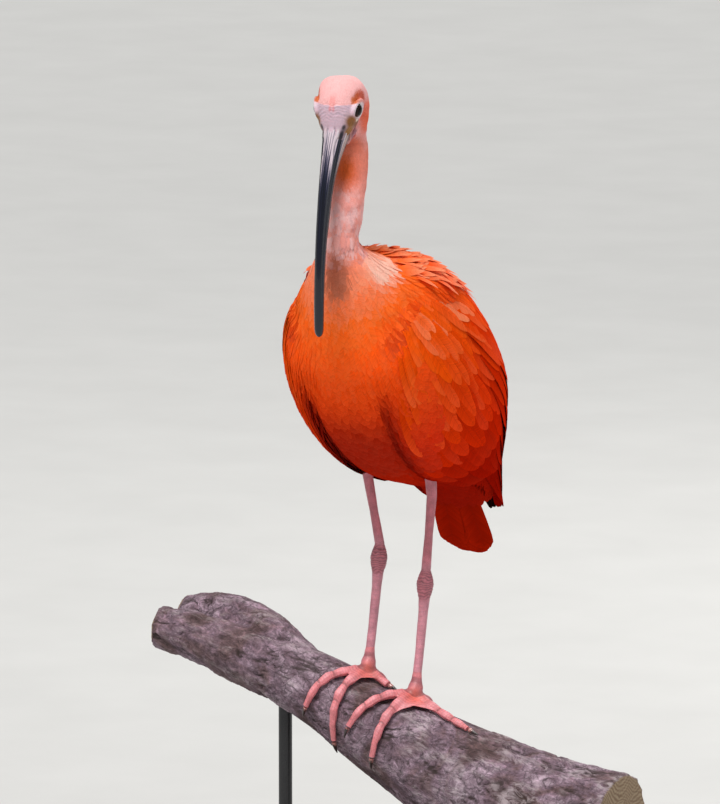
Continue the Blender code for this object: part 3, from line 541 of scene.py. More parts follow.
def read(table, at, keyed=False):
    """Rows of the table at places between its rows, on a smooth curve through them. A keyed table's
    places are its first column, and any other's are the row numbers."""
    table = np.asarray(table, float)
    last = len(table) - 1
    at = np.asarray(at, float)
    if keyed:
        at = np.clip(at, table[0, 0], table[-1, 0])
        low = np.clip(np.searchsorted(table[:, 0], at, side="right") - 1, 0, last - 1)
        share = (at - table[low, 0]) / (table[low + 1, 0] - table[low, 0])
    else:
        at = np.clip(at, 0, last)
        low = np.minimum(at.astype(int), last - 1)
        share = at - low
    a, b, c, d = (table[np.clip(low + k, 0, last)] for k in (-1, 0, 1, 2))
    s = share[..., None]
    two, three = s**2, s**3
    curve = b * (2 * three - 3 * two + 1) + c * (3 * two - 2 * three)
    return curve + (c - a) / 2 * (three - 2 * two + s) + (d - b) / 2 * (three - two)


def on_body(u, turn, lift=0.0):
    """Points over the body and the ways out there. u counts the stations of the spine, and turn is in
    degrees from the back round by the bird's left side to its belly."""
    u, turn = np.broadcast_arrays(np.asarray(u, float), np.asarray(turn, float))
    row = read(BODY, u)
    slope = unit((read(BODY, u + 0.05) - read(BODY, u - 0.05))[..., :2])
    back = np.stack((np.zeros_like(u), -slope[..., 1], slope[..., 0]), -1)
    across, up = np.sin(np.radians(turn)), np.cos(np.radians(turn))
    depth, width = row[..., 2], row[..., 3]
    out = back * (up / depth)[..., None]
    out[..., 0] += across / width
    out = unit(out)
    point = back * (up * depth)[..., None]
    point[..., 0] += across * width
    point[..., 1] += row[..., 0]
    point[..., 2] += row[..., 1] + LEVEL
    return point + out * np.asarray(lift)[..., None], out


def wing_lift(u, b):
    """How far the wing stands off the body, with the hollow that parts the scapulars from the forearm."""
    b = np.clip(b, 0, 1)
    lift = read(WING, u, keyed=True)[..., 3] * np.sin(np.pi * b) ** 0.6
    middle, width, deep = WING_HOLLOW
    middle = middle + 0.10 * np.clip(u - 5.3, 0, 1.5)
    lift = lift - deep * bell(b, middle, width) * step(7.5, 9.5, 17 - u)
    lip = WING_EDGE + (WING_LIP * step(4.3, 5.1, u) - WING_EDGE) * step(0.6, 0.9, b)
    return np.maximum(lift, lip) + WING_SWELL * np.exp(-(((b - 0.74) / 0.16) ** 2) - ((u - 5.45) / 0.8) ** 2)


def on_wing(u, b, side, lift=0.0):
    """Points over the folded wing; b runs from its upper edge at 0 to its lower edge at 1."""
    u, b = np.broadcast_arrays(np.asarray(u, float), np.asarray(b, float))
    row = read(WING, u, keyed=True)
    turn = row[..., 1] + (row[..., 2] - row[..., 1]) * b
    return on_body(u, turn * side, wing_lift(u, b) + lift)


def on_plumage(u, turn, lift=0.0):
    """Points over the body with its folded wings smoothed into it, as the breast's feathers hide their
    edges."""
    u, turn = np.broadcast_arrays(np.asarray(u, float), np.asarray(turn, float))
    away = np.abs((turn + 180) % 360 - 180)
    row = read(WING, u, keyed=True)
    b = (away - row[..., 1]) / (row[..., 2] - row[..., 1])
    over, under = np.maximum(row[..., 1] - away, 0), np.maximum(away - row[..., 2], 0)
    wide = 15 - 11 * step(4.9, 5.9, u)
    fall = np.exp(-((over / 12) ** 2) - (under / wide) ** 2) * step(3.9, 4.5, u)
    crease = 1.8 * bell(u, 4.48, 0.13) * step(76, 92, away) * step(142, 126, away)
    valley = 1.6 * bell(away - row[..., 2], 5, 5) * step(4.9, 5.4, u) * step(8, 7, u)
    hump = SHOULDER_HUMP * np.exp(-(((u - 4.75) / 0.75) ** 2) - ((away - 50) / 22) ** 2)
    return on_body(u, turn, wing_lift(np.maximum(u, 4.35), b) * fall + hump - crease - valley + lift)


def head_axes(pitch):
    """The ways along the skull or the bill at a pitch, up out of it, and to its left."""
    level = np.array((math.sin(HEAD_TURN), -math.cos(HEAD_TURN), 0.0))
    rise = np.array((0.0, 0.0, 1.0))
    along = level * math.cos(pitch) - rise * math.sin(pitch)
    up = level * math.sin(pitch) + rise * math.cos(pitch)
    return along, up, np.array((math.cos(HEAD_TURN), math.sin(HEAD_TURN), 0.0))


AHEAD, CROWN, LEFT = head_axes(HEAD_PITCH)


def from_head(along, up, out):
    """Points counted from the skull's middle along it, up out of it and to its left."""
    ways = ((along, AHEAD), (up, CROWN), (out, LEFT))
    return HEAD_MIDDLE + sum(np.asarray(value, float)[..., None] * way for value, way in ways)


def on_head(at, turn):
    """Points over the skull and the ways out there; at counts its stations from the nape to the bill."""
    at, turn = np.broadcast_arrays(np.asarray(at, float), np.radians(turn))
    along, above, below, half = np.moveaxis(read(HEAD, at), -1, 0)
    rise = np.cos(turn)
    height = np.where(rise > 0, above, below)
    point = from_head(along, rise * height, np.sin(turn) * half)
    ahead = read(HEAD, at + 0.1) - read(HEAD, at - 0.1)
    flare = (ahead[..., 3] + ahead[..., 1]) / 2 / np.maximum(ahead[..., 0], 0.2)
    out = CROWN * (rise / height)[..., None] + LEFT * (np.sin(turn) / half)[..., None]
    return point, unit(unit(out) - AHEAD * flare[..., None])


def moved(bm, points):
    """Puts the bmesh's vertices at the points."""
    for vert, point in zip(bm.verts, points * MM):
        vert.co = point


def wrapped(surface, first, last, rings, sides):
    """A closed skin over a surface that is given by a place along it and an angle round it."""
    bm = bmesh.new()
    bmesh.ops.create_grid(bm, x_segments=rings, y_segments=sides, size=1.0)
    grid = np.array([vert.co[:2] for vert in bm.verts])
    moved(bm, surface(first + (last - first) * (grid[:, 0] + 1) / 2, 180 * (grid[:, 1] + 1)))
    bmesh.ops.remove_doubles(bm, verts=bm.verts, dist=1e-6)
    bmesh.ops.holes_fill(bm, edges=bm.edges)
    bmesh.ops.recalc_face_normals(bm, faces=bm.faces)
    return bm


def pour(bm, other):
    """Adds the other bmesh to the first."""
    mesh = bpy.data.meshes.new("part")
    other.to_mesh(mesh)
    other.free()
    bm.from_mesh(mesh)
    bpy.data.meshes.remove(mesh)


def body_bed(u, turn):
    share = np.clip((u - RUMP_FROM) / (RUMP_TO - RUMP_FROM), 0, 1)
    shrink = np.sqrt(1 - 0.98 * share**2)
    middle = on_body(u, 0)[0] / 2 + on_body(u, 180)[0] / 2
    return toward(middle, neck_bed(u, turn), shrink)


def wing_bed(side):
    def bed(u, turn):
        """The upper face of the wing's fleshy bed out to its lip, and back along its sunk inner face."""
        outer = turn < 180
        b = 0.04 + 0.89 * np.where(outer, turn / 180, 2 - turn / 180)
        free = np.maximum(step(8.4, 9.2, u), step(0.72, 0.88, b))
        sunk = -4.0 - wing_lift(u, b)
        under = sunk + (-2.4 - sunk) * free
        return on_wing(u, b, side, np.where(outer, -1.1, under - 0.3))[0]

    return bed


def neck_bed(u, turn):
    return on_body(u, turn, -np.interp(u, (BODY_FROM, NECK_TO), (NECK_COAT, BODY_COAT)))[0]


def head_bed(at, turn):
    """The skull's skin, carried a little way on over the bill's base."""
    point, out = on_head(at, turn)
    along = read(HEAD, at)[..., 0]
    depth = HEAD_COAT * (1 - bareness(along, turn))
    past = np.maximum(at - (len(HEAD) - 1), 0)[..., None]
    point = point - out * depth[..., None]
    middle = from_head(along, 0 * along, 0 * along)
    return middle + (point - middle) * (1 - 0.10 * past) + AHEAD * (6.5 * past) - CROWN * (0.15 * past)


def bareness(along, turn):
    """1 on the bare skin of the face and 0 under the feathers."""
    turn = np.abs((np.asarray(turn) + 180) % 360 - 180)
    return step(-0.6, 0.8, along - np.interp(turn, BARE_TURNS, BARE_FROM))


def eyelids(bm, side):
    """The fat ring of pale skin round the eye, a little longer than high, with the brow over it."""
    long, high = LID_SIZE
    ring = bmesh.new()
    bmesh.ops.create_circle(ring, segments=10, radius=LID_THICK * MM)
    bmesh.ops.rotate(ring, matrix=Matrix.Rotation(math.radians(90), 3, "X"), verts=ring.verts)
    bmesh.ops.translate(ring, vec=(MM, 0, 0), verts=ring.verts)
    bmesh.ops.translate(ring, vec=((high - 1) * MM, 0, 0), verts=ring.verts)
    bmesh.ops.spin(ring, geom=ring.verts[:] + ring.edges[:], cent=(0, 0, 0), axis=(0, 0, 1),
                   angle=2 * math.pi, steps=36, use_merge=True)
    bmesh.ops.remove_doubles(ring, verts=ring.verts, dist=1e-6)
    bmesh.ops.scale(ring, vec=(long / high, 1, 1), verts=ring.verts)
    bmesh.ops.recalc_face_normals(ring, faces=ring.faces)
    look_way = unit(LEFT * side + AHEAD * LID_FORWARD)
    length = unit(AHEAD - look_way * AHEAD.dot(look_way))
    height = np.cross(look_way, length)
    bmesh.ops.rotate(ring, matrix=Matrix((length, height, look_way)).transposed(), verts=ring.verts)
    centre = from_head(LID_PLACE[0], LID_PLACE[1], side * LID_PLACE[2])
    bmesh.ops.translate(ring, vec=centre * MM, verts=ring.verts)
    for turned in np.radians(np.arange(-70, 100, 8)):
        brow = length * (long + 0.4) * math.sin(turned) * -0.9 + height * (high + 0.3) * math.cos(turned)
        ball(ring, centre + brow - look_way * 1.8, 1.5)
    pour(bm, ring)


def lid_distance(points):
    """How far points are from the middle of the nearer lid."""
    along, up, out = LID_PLACE
    gaps = (np.linalg.norm(points - from_head(along, up, side * out), axis=1) for side in (1, -1))
    return np.minimum(*gaps)


JOWL = (
    (-3.0, -15.6, 8.4, 6.2),
    (0.1, -15.5, 9.4, 6.2),
    (4.4, -14.6, 9.7, 5.6),
    (8.9, -13.0, 9.9, 4.6),
    (13.0, -11.2, 10.2, 3.2),
    (17.2, -9.6, 10.0, 2.5),
    (22.0, -8.4, 9.0, 2.2),
    (27.0, -7.6, 8.0, 1.8),
)
NAPE = (
    (1.5, -66.0, 607, 11.3),
    (3.0, -66.2, 616, 11.6),
    (3.4, -66.4, 623, 11.8),
    (3.0, -67.2, 629, 11.6),
    (1.5, -69.0, 634, 10.4),
)
NAPE_MIDDLE, NAPE_SIZE = np.array((0, -55, 629)), np.array((22, 10, 20))
LORES = ((12.5, -3.0, 12.2, 1.6), (16.0, -3.6, 11.0, 1.7), (20.0, -3.6, 9.4, 1.4), (24.0, -3.4, 8.0, 1.0))


def padded(bm, path, side):
    """A soft fold of the face, along a path over the skull."""
    for at in np.linspace(0, len(path) - 1, 8 * len(path)):
        along, up, out, thick = read(path, at)
        ball(bm, from_head(along, up, out * side), thick)


def head_places(points):
    """Where points lie along the skull, up out of it and to its left, and at what angle from its crown."""
    off = points - HEAD_MIDDLE
    along, up, out = off @ AHEAD, off @ CROWN, off @ LEFT
    return along, up, out, np.degrees(np.arctan2(np.abs(out), up))


PLUME_STATIONS = (0, 0.8, 1.6, 2.6, 3.3, 4.0, 4.8, 6.0, 8.0, 11.0)
# From station 6.0 on the red deepens, partly the plumage's own scarlet and partly painted shade.
PLUME_TINTS_AND_SHADE = (
    (0.96, 0.30, 0.22),
    (0.96, 0.28, 0.20),
    (0.98, 0.38, 0.33),
    (0.98, 0.36, 0.30),
    (1.00, 0.24, 0.12),
    (1.00, 0.130, 0.010),
    (1.00, 0.080, 0.004),
    (0.78, 0.024, 0.0015),
    (0.36, 0.006, 0.001),
    (0.38, 0.008, 0.001),
)
# Painted shade low on the neck's front and over the belly, painted highlights on both shoulders.
PLUME_MARKS_AND_LIGHT = (
    ((5, -96, 513), (8, 14, 18), (0.28, 0.075, 0.045), 0.72),
    ((22, -69, 515), (9, 15, 12), (1.0, 0.56, 0.45), 0.85),
    ((-22, -69, 515), (9, 15, 12), (1.0, 0.56, 0.45), 0.85),
    ((5, -83, 586), (11, 10, 15), (0.78, 0.110, 0.008), 0.90),
    ((0, -70, 366), (46, 60, 44), (0.34, 0.008, 0.001), 0.80),
)


def blended(stations, colours, at):
    """The colour at places between the stations of a table."""
    return np.stack([np.interp(at, stations, channel) for channel in zip(*colours)], -1)


def marked(tint, points, marks):
    """Soft patches of colour laid over a tint: where, how wide, what colour and how strong."""
    for centre, size, colour, strength in marks:
        here = near(points, np.array(centre), np.array(size))
        tint = toward(tint, colour, strength * step(0.05, 0.75, here))
    return tint


def plume_tint_and_light(points, u):
    """The small feathers' colour at places u along the spine, with painted shade and painted highlights."""
    return marked(blended(PLUME_STATIONS, PLUME_TINTS_AND_SHADE, u), points, PLUME_MARKS_AND_LIGHT)


# Marks on the head are placed along the skull, up out of it and out from its middle, on both sides.
HEAD_MARKS = (
    ((8.0, 15.0, 1.0), (3.4, 3.0, 1.0), (0.90, 0.22, 0.20), 0.45),
    ((3.4, 9.2, 13.6), (2.6, 2.6, 3.0), (0.62, 0.130, 0.020), 0.90),
    ((-0.2, 8.0, 14.8), (3.0, 2.4, 3.0), (0.56, 0.100, 0.020), 0.90),
    ((-3.0, 4.6, 16.2), (2.8, 3.8, 4.0), (0.60, 0.085, 0.028), 0.85),
    ((0.0, -7.0, 15.0), (9.0, 8.0, 6.0), (0.90, 0.15, 0.075), 0.80),
    ((6.0, -12.5, 12.0), (9.0, 7.0, 7.0), (0.88, 0.13, 0.045), 0.80),
    ((26.0, -17.0, 7.0), (13.0, 7.0, 8.0), (0.78, 0.110, 0.008), 0.92),
)
FACE_MARKS_AND_GLINT = (
    ((6.0, EYE_UP, 15.5), (5.6, 6.2, 5.0), (0.92, 0.86, 0.86), 0.95),
    ((16.0, 3.4, 12.6), (4.8, 5.6, 4.4), (0.34, 0.13, 0.020), 0.97),
    ((21.4, -1.2, 10.6), (4.8, 4.6, 4.2), (0.42, 0.18, 0.035), 0.97),
    ((14.0, -3.4, 13.6), (3.0, 3.4, 4.0), (0.30, 0.105, 0.035), 0.95),
    # A painted glint under the eye.
    ((12.6, -1.0, 14.4), (0.9, 1.5, 3.0), (0.96, 0.86, 0.72), 0.92),
    ((19.0, -9.6, 11.0), (7.5, 2.6, 5.0), (0.58, 0.25, 0.30), 0.95),
    ((13.5, -6.6, 13.0), (6.5, 1.1, 5.0), (0.24, 0.030, 0.020), 0.85),
    ((21.5, 5.2, 8.4), (2.6, 1.4, 1.4), (0.030, 0.022, 0.026), 0.90),
    ((28.0, 3.8, 8.5), (6.5, 2.4, 4.0), (0.016, 0.014, 0.024), 0.98),
    ((27.0, 8.0, 2.6), (4.4, 4.0, 0.8), (0.10, 0.07, 0.085), 0.85),
    ((27.0, 8.0, -0.6), (3.4, 4.0, 0.7), (0.10, 0.07, 0.085), 0.75),
    ((27.0, 7.0, 5.0), (4.0, 4.0, 0.9), (0.90, 0.80, 0.80), 0.80),
    ((11.4, 14.0, 1.2), (2.0, 3.0, 1.1), (0.88, 0.26, 0.28), 0.65),
)


def head_marked(tint, points, marks):
    along, up, out, _ = head_places(points)
    return marked(tint, np.stack((along, up, np.abs(out)), -1), marks)


def head_tint(points):
    """The head's feathers: salmon pink, redder at the peak, dark orange over the eyes and on the cheeks."""
    return head_marked(np.ones_like(points) * (1.0, 0.50, 0.49), points, HEAD_MARKS)


def face_tint(points):
    """The bare face: pale lavender, white lids, a painted glint under the eye, brown lores, a pink gape fold.
    """
    chin = step(2, -8, head_places(points)[1])
    tint = toward(np.ones_like(points) * (0.80, 0.56, 0.66), (0.80, 0.36, 0.34), chin)
    return head_marked(tint, points, FACE_MARKS_AND_GLINT)


def upper_tint(points):
    """The colour of the feathers on the head and the neck, and the points' places along the spine."""
    u = np.interp(-points[:, 2], [-row[1] - LEVEL for row in BODY[:6]], range(6))
    on_neck = step(14, 0, points[:, 2] - NECK_TOP - LEVEL)[:, None]
    return head_tint(points) * (1 - on_neck) + plume_tint_and_light(points, u) * on_neck, u


def skin_look():
    look, tree, shader = new_look("ibis_skin", 0.45, {
        "Specular IOR Level": 0.25, "Subsurface Weight": 0.12, "Subsurface Radius": (0.003, 0.0012, 0.0009)})
    fine = grain(tree, placed(tree, (1, 1, 1)), 900, 5, 0.65)
    creases = grain(tree, placed(tree, (300, 900, 900)), 1.0, 3, 0.6, 0.8)
    colour = shaded(tree, 0.35, attribute(tree, "tint"), fine, (0.3, 0.7), (0.7, 1.2))
    tree.links.new(colour, shader.inputs["Base Color"])
    first = bumped(tree, shader, creases, 0.25, 0.0005)
    bumped(tree, shader, fine, 0.3, 0.0003, first)
    return look


bm = wrapped(body_bed, BODY_FROM, RUMP_TO, 60, 72)
for side in (1, -1):
    pour(bm, wrapped(wing_bed(side), WING[0][0] + 0.1, WING[-1][0] - 1.15, 50, 64))
body_skin = fused("body_skin", bm, 2.3, 2)
points = points_of(body_skin)
spine = read(BODY, np.linspace(0, 12, 12 * SPINE_STEPS + 1))
spine_y, spine_z = spine[:, 0], spine[:, 1] + LEVEL
nearest = np.array([np.argmin((spine_y - p[1]) ** 2 + (spine_z - p[2]) ** 2) for p in points])
painted(body_skin, "tint", plume_tint_and_light(points, nearest / SPINE_STEPS) * 0.9)

bm = wrapped(head_bed, 0, len(HEAD), 70, 72)
pour(bm, wrapped(neck_bed, 0.0, NECK_TO, 60, 64))
for *place, size in NAPE:
    for side in (1, -1):
        ball(bm, np.array(place) * (side, 1, 1), size)
for side in (1, -1):
    eyelids(bm, side)
    padded(bm, JOWL, side)
    padded(bm, LORES, side)
face = fused("ibis_skin", bm, 0.66, 2)
points = points_of(face)
eased(face, 0.9 * near(points, NAPE_MIDDLE, NAPE_SIZE), 70)
points, normals = points_of(face), points_of(face, "normal")
along, up, out, turn = head_places(points)
bare = bareness(along, turn) * step(-22, -16, up) * step(-42, -36, -along)
wander = rough(points, 6.0, 3, 4.0)
wrinkles = np.sin(2 * np.pi * (along + 1.8 * wander) / WRINKLE_STEP)
wrinkles = wrinkles * step(84, 55, turn) * step(22, 14, along)
wrinkles = wrinkles * (0.55 + 0.45 * rough(points, 2.5, 2, 13.0))
folds = np.sin(2 * np.pi * (up + 0.35 * along + 1.4 * wander) / FOLD_STEP) * step(64, 95, turn)
calm = step(6.5, 9.5, lid_distance(points))
relief = bare * calm * (0.26 * wrinkles + 0.12 * folds + 0.12 * wander)
set_points(face, points + normals * relief[:, None])
shade = (1 - 0.20 * (1 - wrinkles - folds) * calm)[:, None]
tint = upper_tint(points)[0] * (1 - bare[:, None]) + face_tint(points) * shade * bare[:, None]
painted(face, "tint", np.clip(tint, 0, 1))

joined = bmesh.new()
joined.from_mesh(face.data)
joined.from_mesh(body_skin.data)
joined.to_mesh(face.data)
joined.free()
bpy.data.objects.remove(body_skin, do_unlink=True)
finish(face, skin_look(), "plumage_head", "head", "neck", "torso", "wing_left", "wing_right", "tail")


# Eyes. Round dark brown eyes with a black pupil and a wet, clear front, set behind the lids on both sides.

def eye_look():
    look, tree, shader = new_look("eye_gloss", 0.06, {
        "Coat Weight": 0.15, "Coat Roughness": 0.02, "Specular IOR Level": 0.12})
    fibres = grain(tree, placed(tree, (1, 1, 1)), 1500, 3)
    iris = ramp(tree, attribute(tree, "from_axis", "Fac"),
                ((0.0, (0.001, 0.001, 0.001)), (0.50, (0.001, 0.001, 0.001)), (0.54, (0.024, 0.009, 0.005)),
                 (0.80, (0.014, 0.006, 0.004)), (0.95, (0.002, 0.002, 0.002))))
    tree.links.new(shaded(tree, 0.4, iris, fibres, (0.3, 0.4), (0.7, 1.4)), shader.inputs["Base Color"])
    return look


eye_gloss = eye_look()
for name, side in (("eye_left", 1), ("eye_right", -1)):
    bm = bmesh.new()
    bmesh.ops.create_uvsphere(bm, u_segments=40, v_segments=24, radius=EYE_RADIUS * MM)
    centre = from_head(EYE_ALONG, EYE_UP, side * EYE_OUT)
    bmesh.ops.translate(bm, vec=centre * MM, verts=bm.verts)
    eye = object_from(name + "_ball", bm)
    eye.data.shade_smooth()
    off_axis = unit(points_of(eye) - centre) - unit(LEFT * side + AHEAD * LID_FORWARD)
    painted(eye, "from_axis", np.linalg.norm(off_axis, axis=1))
    finish(eye, eye_gloss, "eye_gloss", name)


# Bill. Two long down-curved halves of horn that meet along the mouth, with a groove down each side from
# the slit nostril: streaked pinkish white at the base, then dark slate blue, then black and glossy.

BILL_LENGTH, BILL_LAST_PITCH, BILL_BEND = 147.0, math.radians(92.7), 0.75
BILL = (
    (0.00, 7.4, 10.4, 8.2),
    (0.06, 6.8, 9.0, 7.3),
    (0.14, 6.0, 7.2, 6.3),
    (0.25, 5.2, 5.9, 5.4),
    (0.40, 4.5, 4.9, 4.5),
    (0.65, 3.7, 3.9, 3.7),
    (0.88, 3.3, 3.4, 3.5),
    (0.965, 3.1, 3.0, 3.2),
    (0.985, 2.5, 2.4, 2.6),
    (0.995, 1.6, 1.5, 1.7),
    (1.00, 0.5, 0.4, 0.5),
)
MOUTH_TURN = math.degrees(math.asin(0.22))
BILL_STEPS, BILL_ROOT = 240, 3.0
NOSTRIL_AT, NOSTRIL_LONG, NOSTRIL_TURN = 0.085, 0.038, 48.0


def bill_frames():
    """The bill's middle and the way up out of it, at even steps of its length."""
    places, ups = [], []
    point = from_head(HEAD[-1][0] + 0.3 - BILL_ROOT, 0, 0)
    stride = (BILL_LENGTH + BILL_ROOT) / BILL_STEPS
    for i in range(BILL_STEPS + 1):
        at = max(0.0, (i * stride - BILL_ROOT) / BILL_LENGTH)
        pitch = HEAD_PITCH + (BILL_LAST_PITCH - HEAD_PITCH) * at**BILL_BEND
        along, up, _ = head_axes(pitch)
        places.append(point)
        ups.append(up)
        point = point + along * stride
    return np.array(places), np.array(ups)


BILL_PLACES, BILL_UPS = bill_frames()


def on_bill(at, turn, gap):
    """Points over the bill: at is a share of its length, and turn is in degrees from its left round over
    its ridge. The groove along each side, the nostril and the seam of the mouth are sunk in it."""
    run = np.clip((at * BILL_LENGTH + BILL_ROOT) / (BILL_LENGTH + BILL_ROOT), 0, 1) * BILL_STEPS
    low = np.minimum(run.astype(int), BILL_STEPS - 1)
    share = (run - low)[..., None]
    middle = BILL_PLACES[low] * (1 - share) + BILL_PLACES[low + 1] * share
    up = BILL_UPS[low]
    _, above, below, half = np.moveaxis(read(BILL, np.maximum(at, 0), keyed=True), -1, 0)
    across, rise = np.cos(np.radians(turn)), np.sin(np.radians(turn))
    high = np.degrees(np.arctan2(rise, np.abs(across)))
    wide = 1 + (0.30 * step(0.28, 0.0, at)) * step(10, -25, high)
    half, below = half * wide, below * (1 + 0.22 * step(0.26, 0.0, at))
    channel = bell(high, 34, 10) * step(0.0, 0.06, at) * step(0.97, 0.75, at) * 0.12
    slit = np.exp(-(((high - NOSTRIL_TURN) / 7) ** 2) - ((at - NOSTRIL_AT) / NOSTRIL_LONG) ** 4) * 0.20
    seam = bell(high, -MOUTH_TURN, 5) * 0.10
    ridges = 0.014 * np.sin(np.radians(high * 16)) * step(0.45, 0.0, at)
    size = 1 - channel - slit - seam + ridges
    height = np.where(rise > 0, above, below) * rise * size
    return middle + LEFT * (across * half * size)[..., None] + up * (height - gap)[..., None]


def bill_look():
    look, tree, shader = new_look("bill_horn", 0.14, {
        "Coat Weight": 0.5, "Coat Roughness": 0.05, "Specular IOR Level": 0.35})
    streak = grain(tree, placed(tree, (2.0, 44.0, 1), uv="horn"), 1.0, 5, 0.65, 0.2)
    fleck = grain(tree, placed(tree, (60.0, 300.0, 1), uv="horn"), 1.0, 3)
    bold = node(tree, "ShaderNodeMath", {0: streak, 1: 1.7, 2: -0.35}, operation="MULTIPLY_ADD").outputs[0]
    share = node(tree, "ShaderNodeMath", {0: attribute(tree, "base", "Fac"), 1: bold}, operation="ADD")
    colour = ramp(tree, share.outputs[0], ((0.50, (0.004, 0.005, 0.013)), (0.70, (0.014, 0.017, 0.045)),
                                           (0.84, (0.16, 0.14, 0.20)), (0.95, (0.72, 0.60, 0.66))))
    colour = shaded(tree, 0.3, colour, fleck, (0.3, 0.6), (0.7, 1.2))
    colour = mixed(tree, attribute(tree, "rim", "Fac"), colour, (0.66, 0.46, 0.42))
    tree.links.new(colour, shader.inputs["Base Color"])
    bumped(tree, shader, streak, 0.25, 0.0008)
    return look


bill_horn = bill_look()
for name, first, last, end, gap, sides in (
    ("bill_upper", -MOUTH_TURN, 180 + MOUTH_TURN, 1.0, 0.0, 64),
    ("bill_lower", 180 + MOUTH_TURN, 360 - MOUTH_TURN, 0.985, 0.3, 40),
):
    bm = bmesh.new()
    bmesh.ops.create_grid(bm, x_segments=150, y_segments=sides, size=1.0)
    grid = (np.array([vert.co[:2] for vert in bm.verts]) + 1) / 2
    at = -0.02 + (end + 0.02) * (1 - (1 - grid[:, 0]) ** 1.25)
    turns = first + (last - first) * grid[:, 1]
    moved(bm, on_bill(at, turns, gap))
    bmesh.ops.holes_fill(bm, edges=[edge for edge in bm.edges if edge.is_boundary])
    bmesh.ops.triangulate(bm, faces=[f for f in bm.faces if len(f.verts) > 4])
    bmesh.ops.recalc_face_normals(bm, faces=bm.faces)
    half = object_from(name + "_horn", bm)
    half.data.shade_smooth()
    half.data.set_sharp_from_angle(angle=math.radians(50))
    horn = half.data.uv_layers.new(name="horn")
    loops = np.zeros(len(half.data.loops), np.int32)
    half.data.loops.foreach_get("vertex_index", loops)
    horn.data.foreach_set("uv", np.stack((at, turns / 360), -1)[loops].astype(np.float32).ravel())
    high = np.degrees(np.arcsin(np.sin(np.radians(turns))))
    # Pale streaks on the ridges and dark grooves: partly the horn's own, partly painted highlight and shade.
    pale = 0.16 * np.cos(np.radians((high - 50) * 6)) * step(10, 25, high) + 0.10 * step(65, 85, high)
    grooved = 0.55 * bell(high, 22, 14) + 0.30 * (high < -14)
    fade = step(0.40, 0.0, at)
    painted(half, "base", 0.55 * fade - 0.06 + (pale - grooved) * fade**0.5)
    mouth_edge = bell(np.minimum(np.abs(turns - first), np.abs(turns - last)), 0, 7)
    painted(half, "rim", 0.85 * mouth_edge * step(0.30, 0.10, at))
    finish(half, bill_horn, "bill_horn", name)


# Small feathers. Short velvet on the head and neck, and longer soft webs over the breast, the belly and the
# shoulders, each rooted in the skin and lying back over the next, with loose pale plumes on the back.

draw = np.random.default_rng(20)
NECK_LIE = (408 + LEVEL, 396 + LEVEL)
SKULL_LOW, THROAT_LOW, NECK_HALF, NECK_LOW = 404 + LEVEL, 390 + LEVEL, 340 + LEVEL, 281 + LEVEL
UNWRAP_LOW, UNWRAP_HIGH = 470, 190
MOTTLE_TINT, DUSKY_TINT, WEB_TIP_TINT = (0.96, 0.58, 0.57), (0.62, 0.28, 0.30), np.array((1.0, 0.42, 0.26))
PATCH, BARB_SPAN = 0.003, 40
# The shares of its length at which each kind of feather has a row of points, and how wide it is there.
LEAVES = {
    "lock": ((0.0, 0.28, 0.62, 0.86, 1.0), (0.55, 0.95, 1.0, 0.62, 0.04)),
    "web": ((0.0, 0.22, 0.48, 0.70, 0.86, 0.96, 1.0), (0.55, 0.85, 1.0, 0.98, 0.76, 0.40, 0.03)),
    "plume": ((0.0, 0.20, 0.42, 0.62, 0.80, 0.92, 1.0), (0.50, 0.85, 1.0, 0.82, 0.48, 0.22, 0.02)),
    "vane": ((0.0, 0.16, 0.34, 0.52, 0.68, 0.80, 0.89, 0.955, 0.99, 1.0),
             (0.45, 0.66, 0.88, 0.99, 0.99, 0.90, 0.71, 0.45, 0.20, 0.01)),
    "quill": ((0.0, 0.20, 0.45, 0.70, 0.86, 0.94, 0.975, 0.993, 1.0),
              (0.55, 0.75, 0.93, 1.0, 1.0, 0.92, 0.72, 0.42, 0.02)),
}


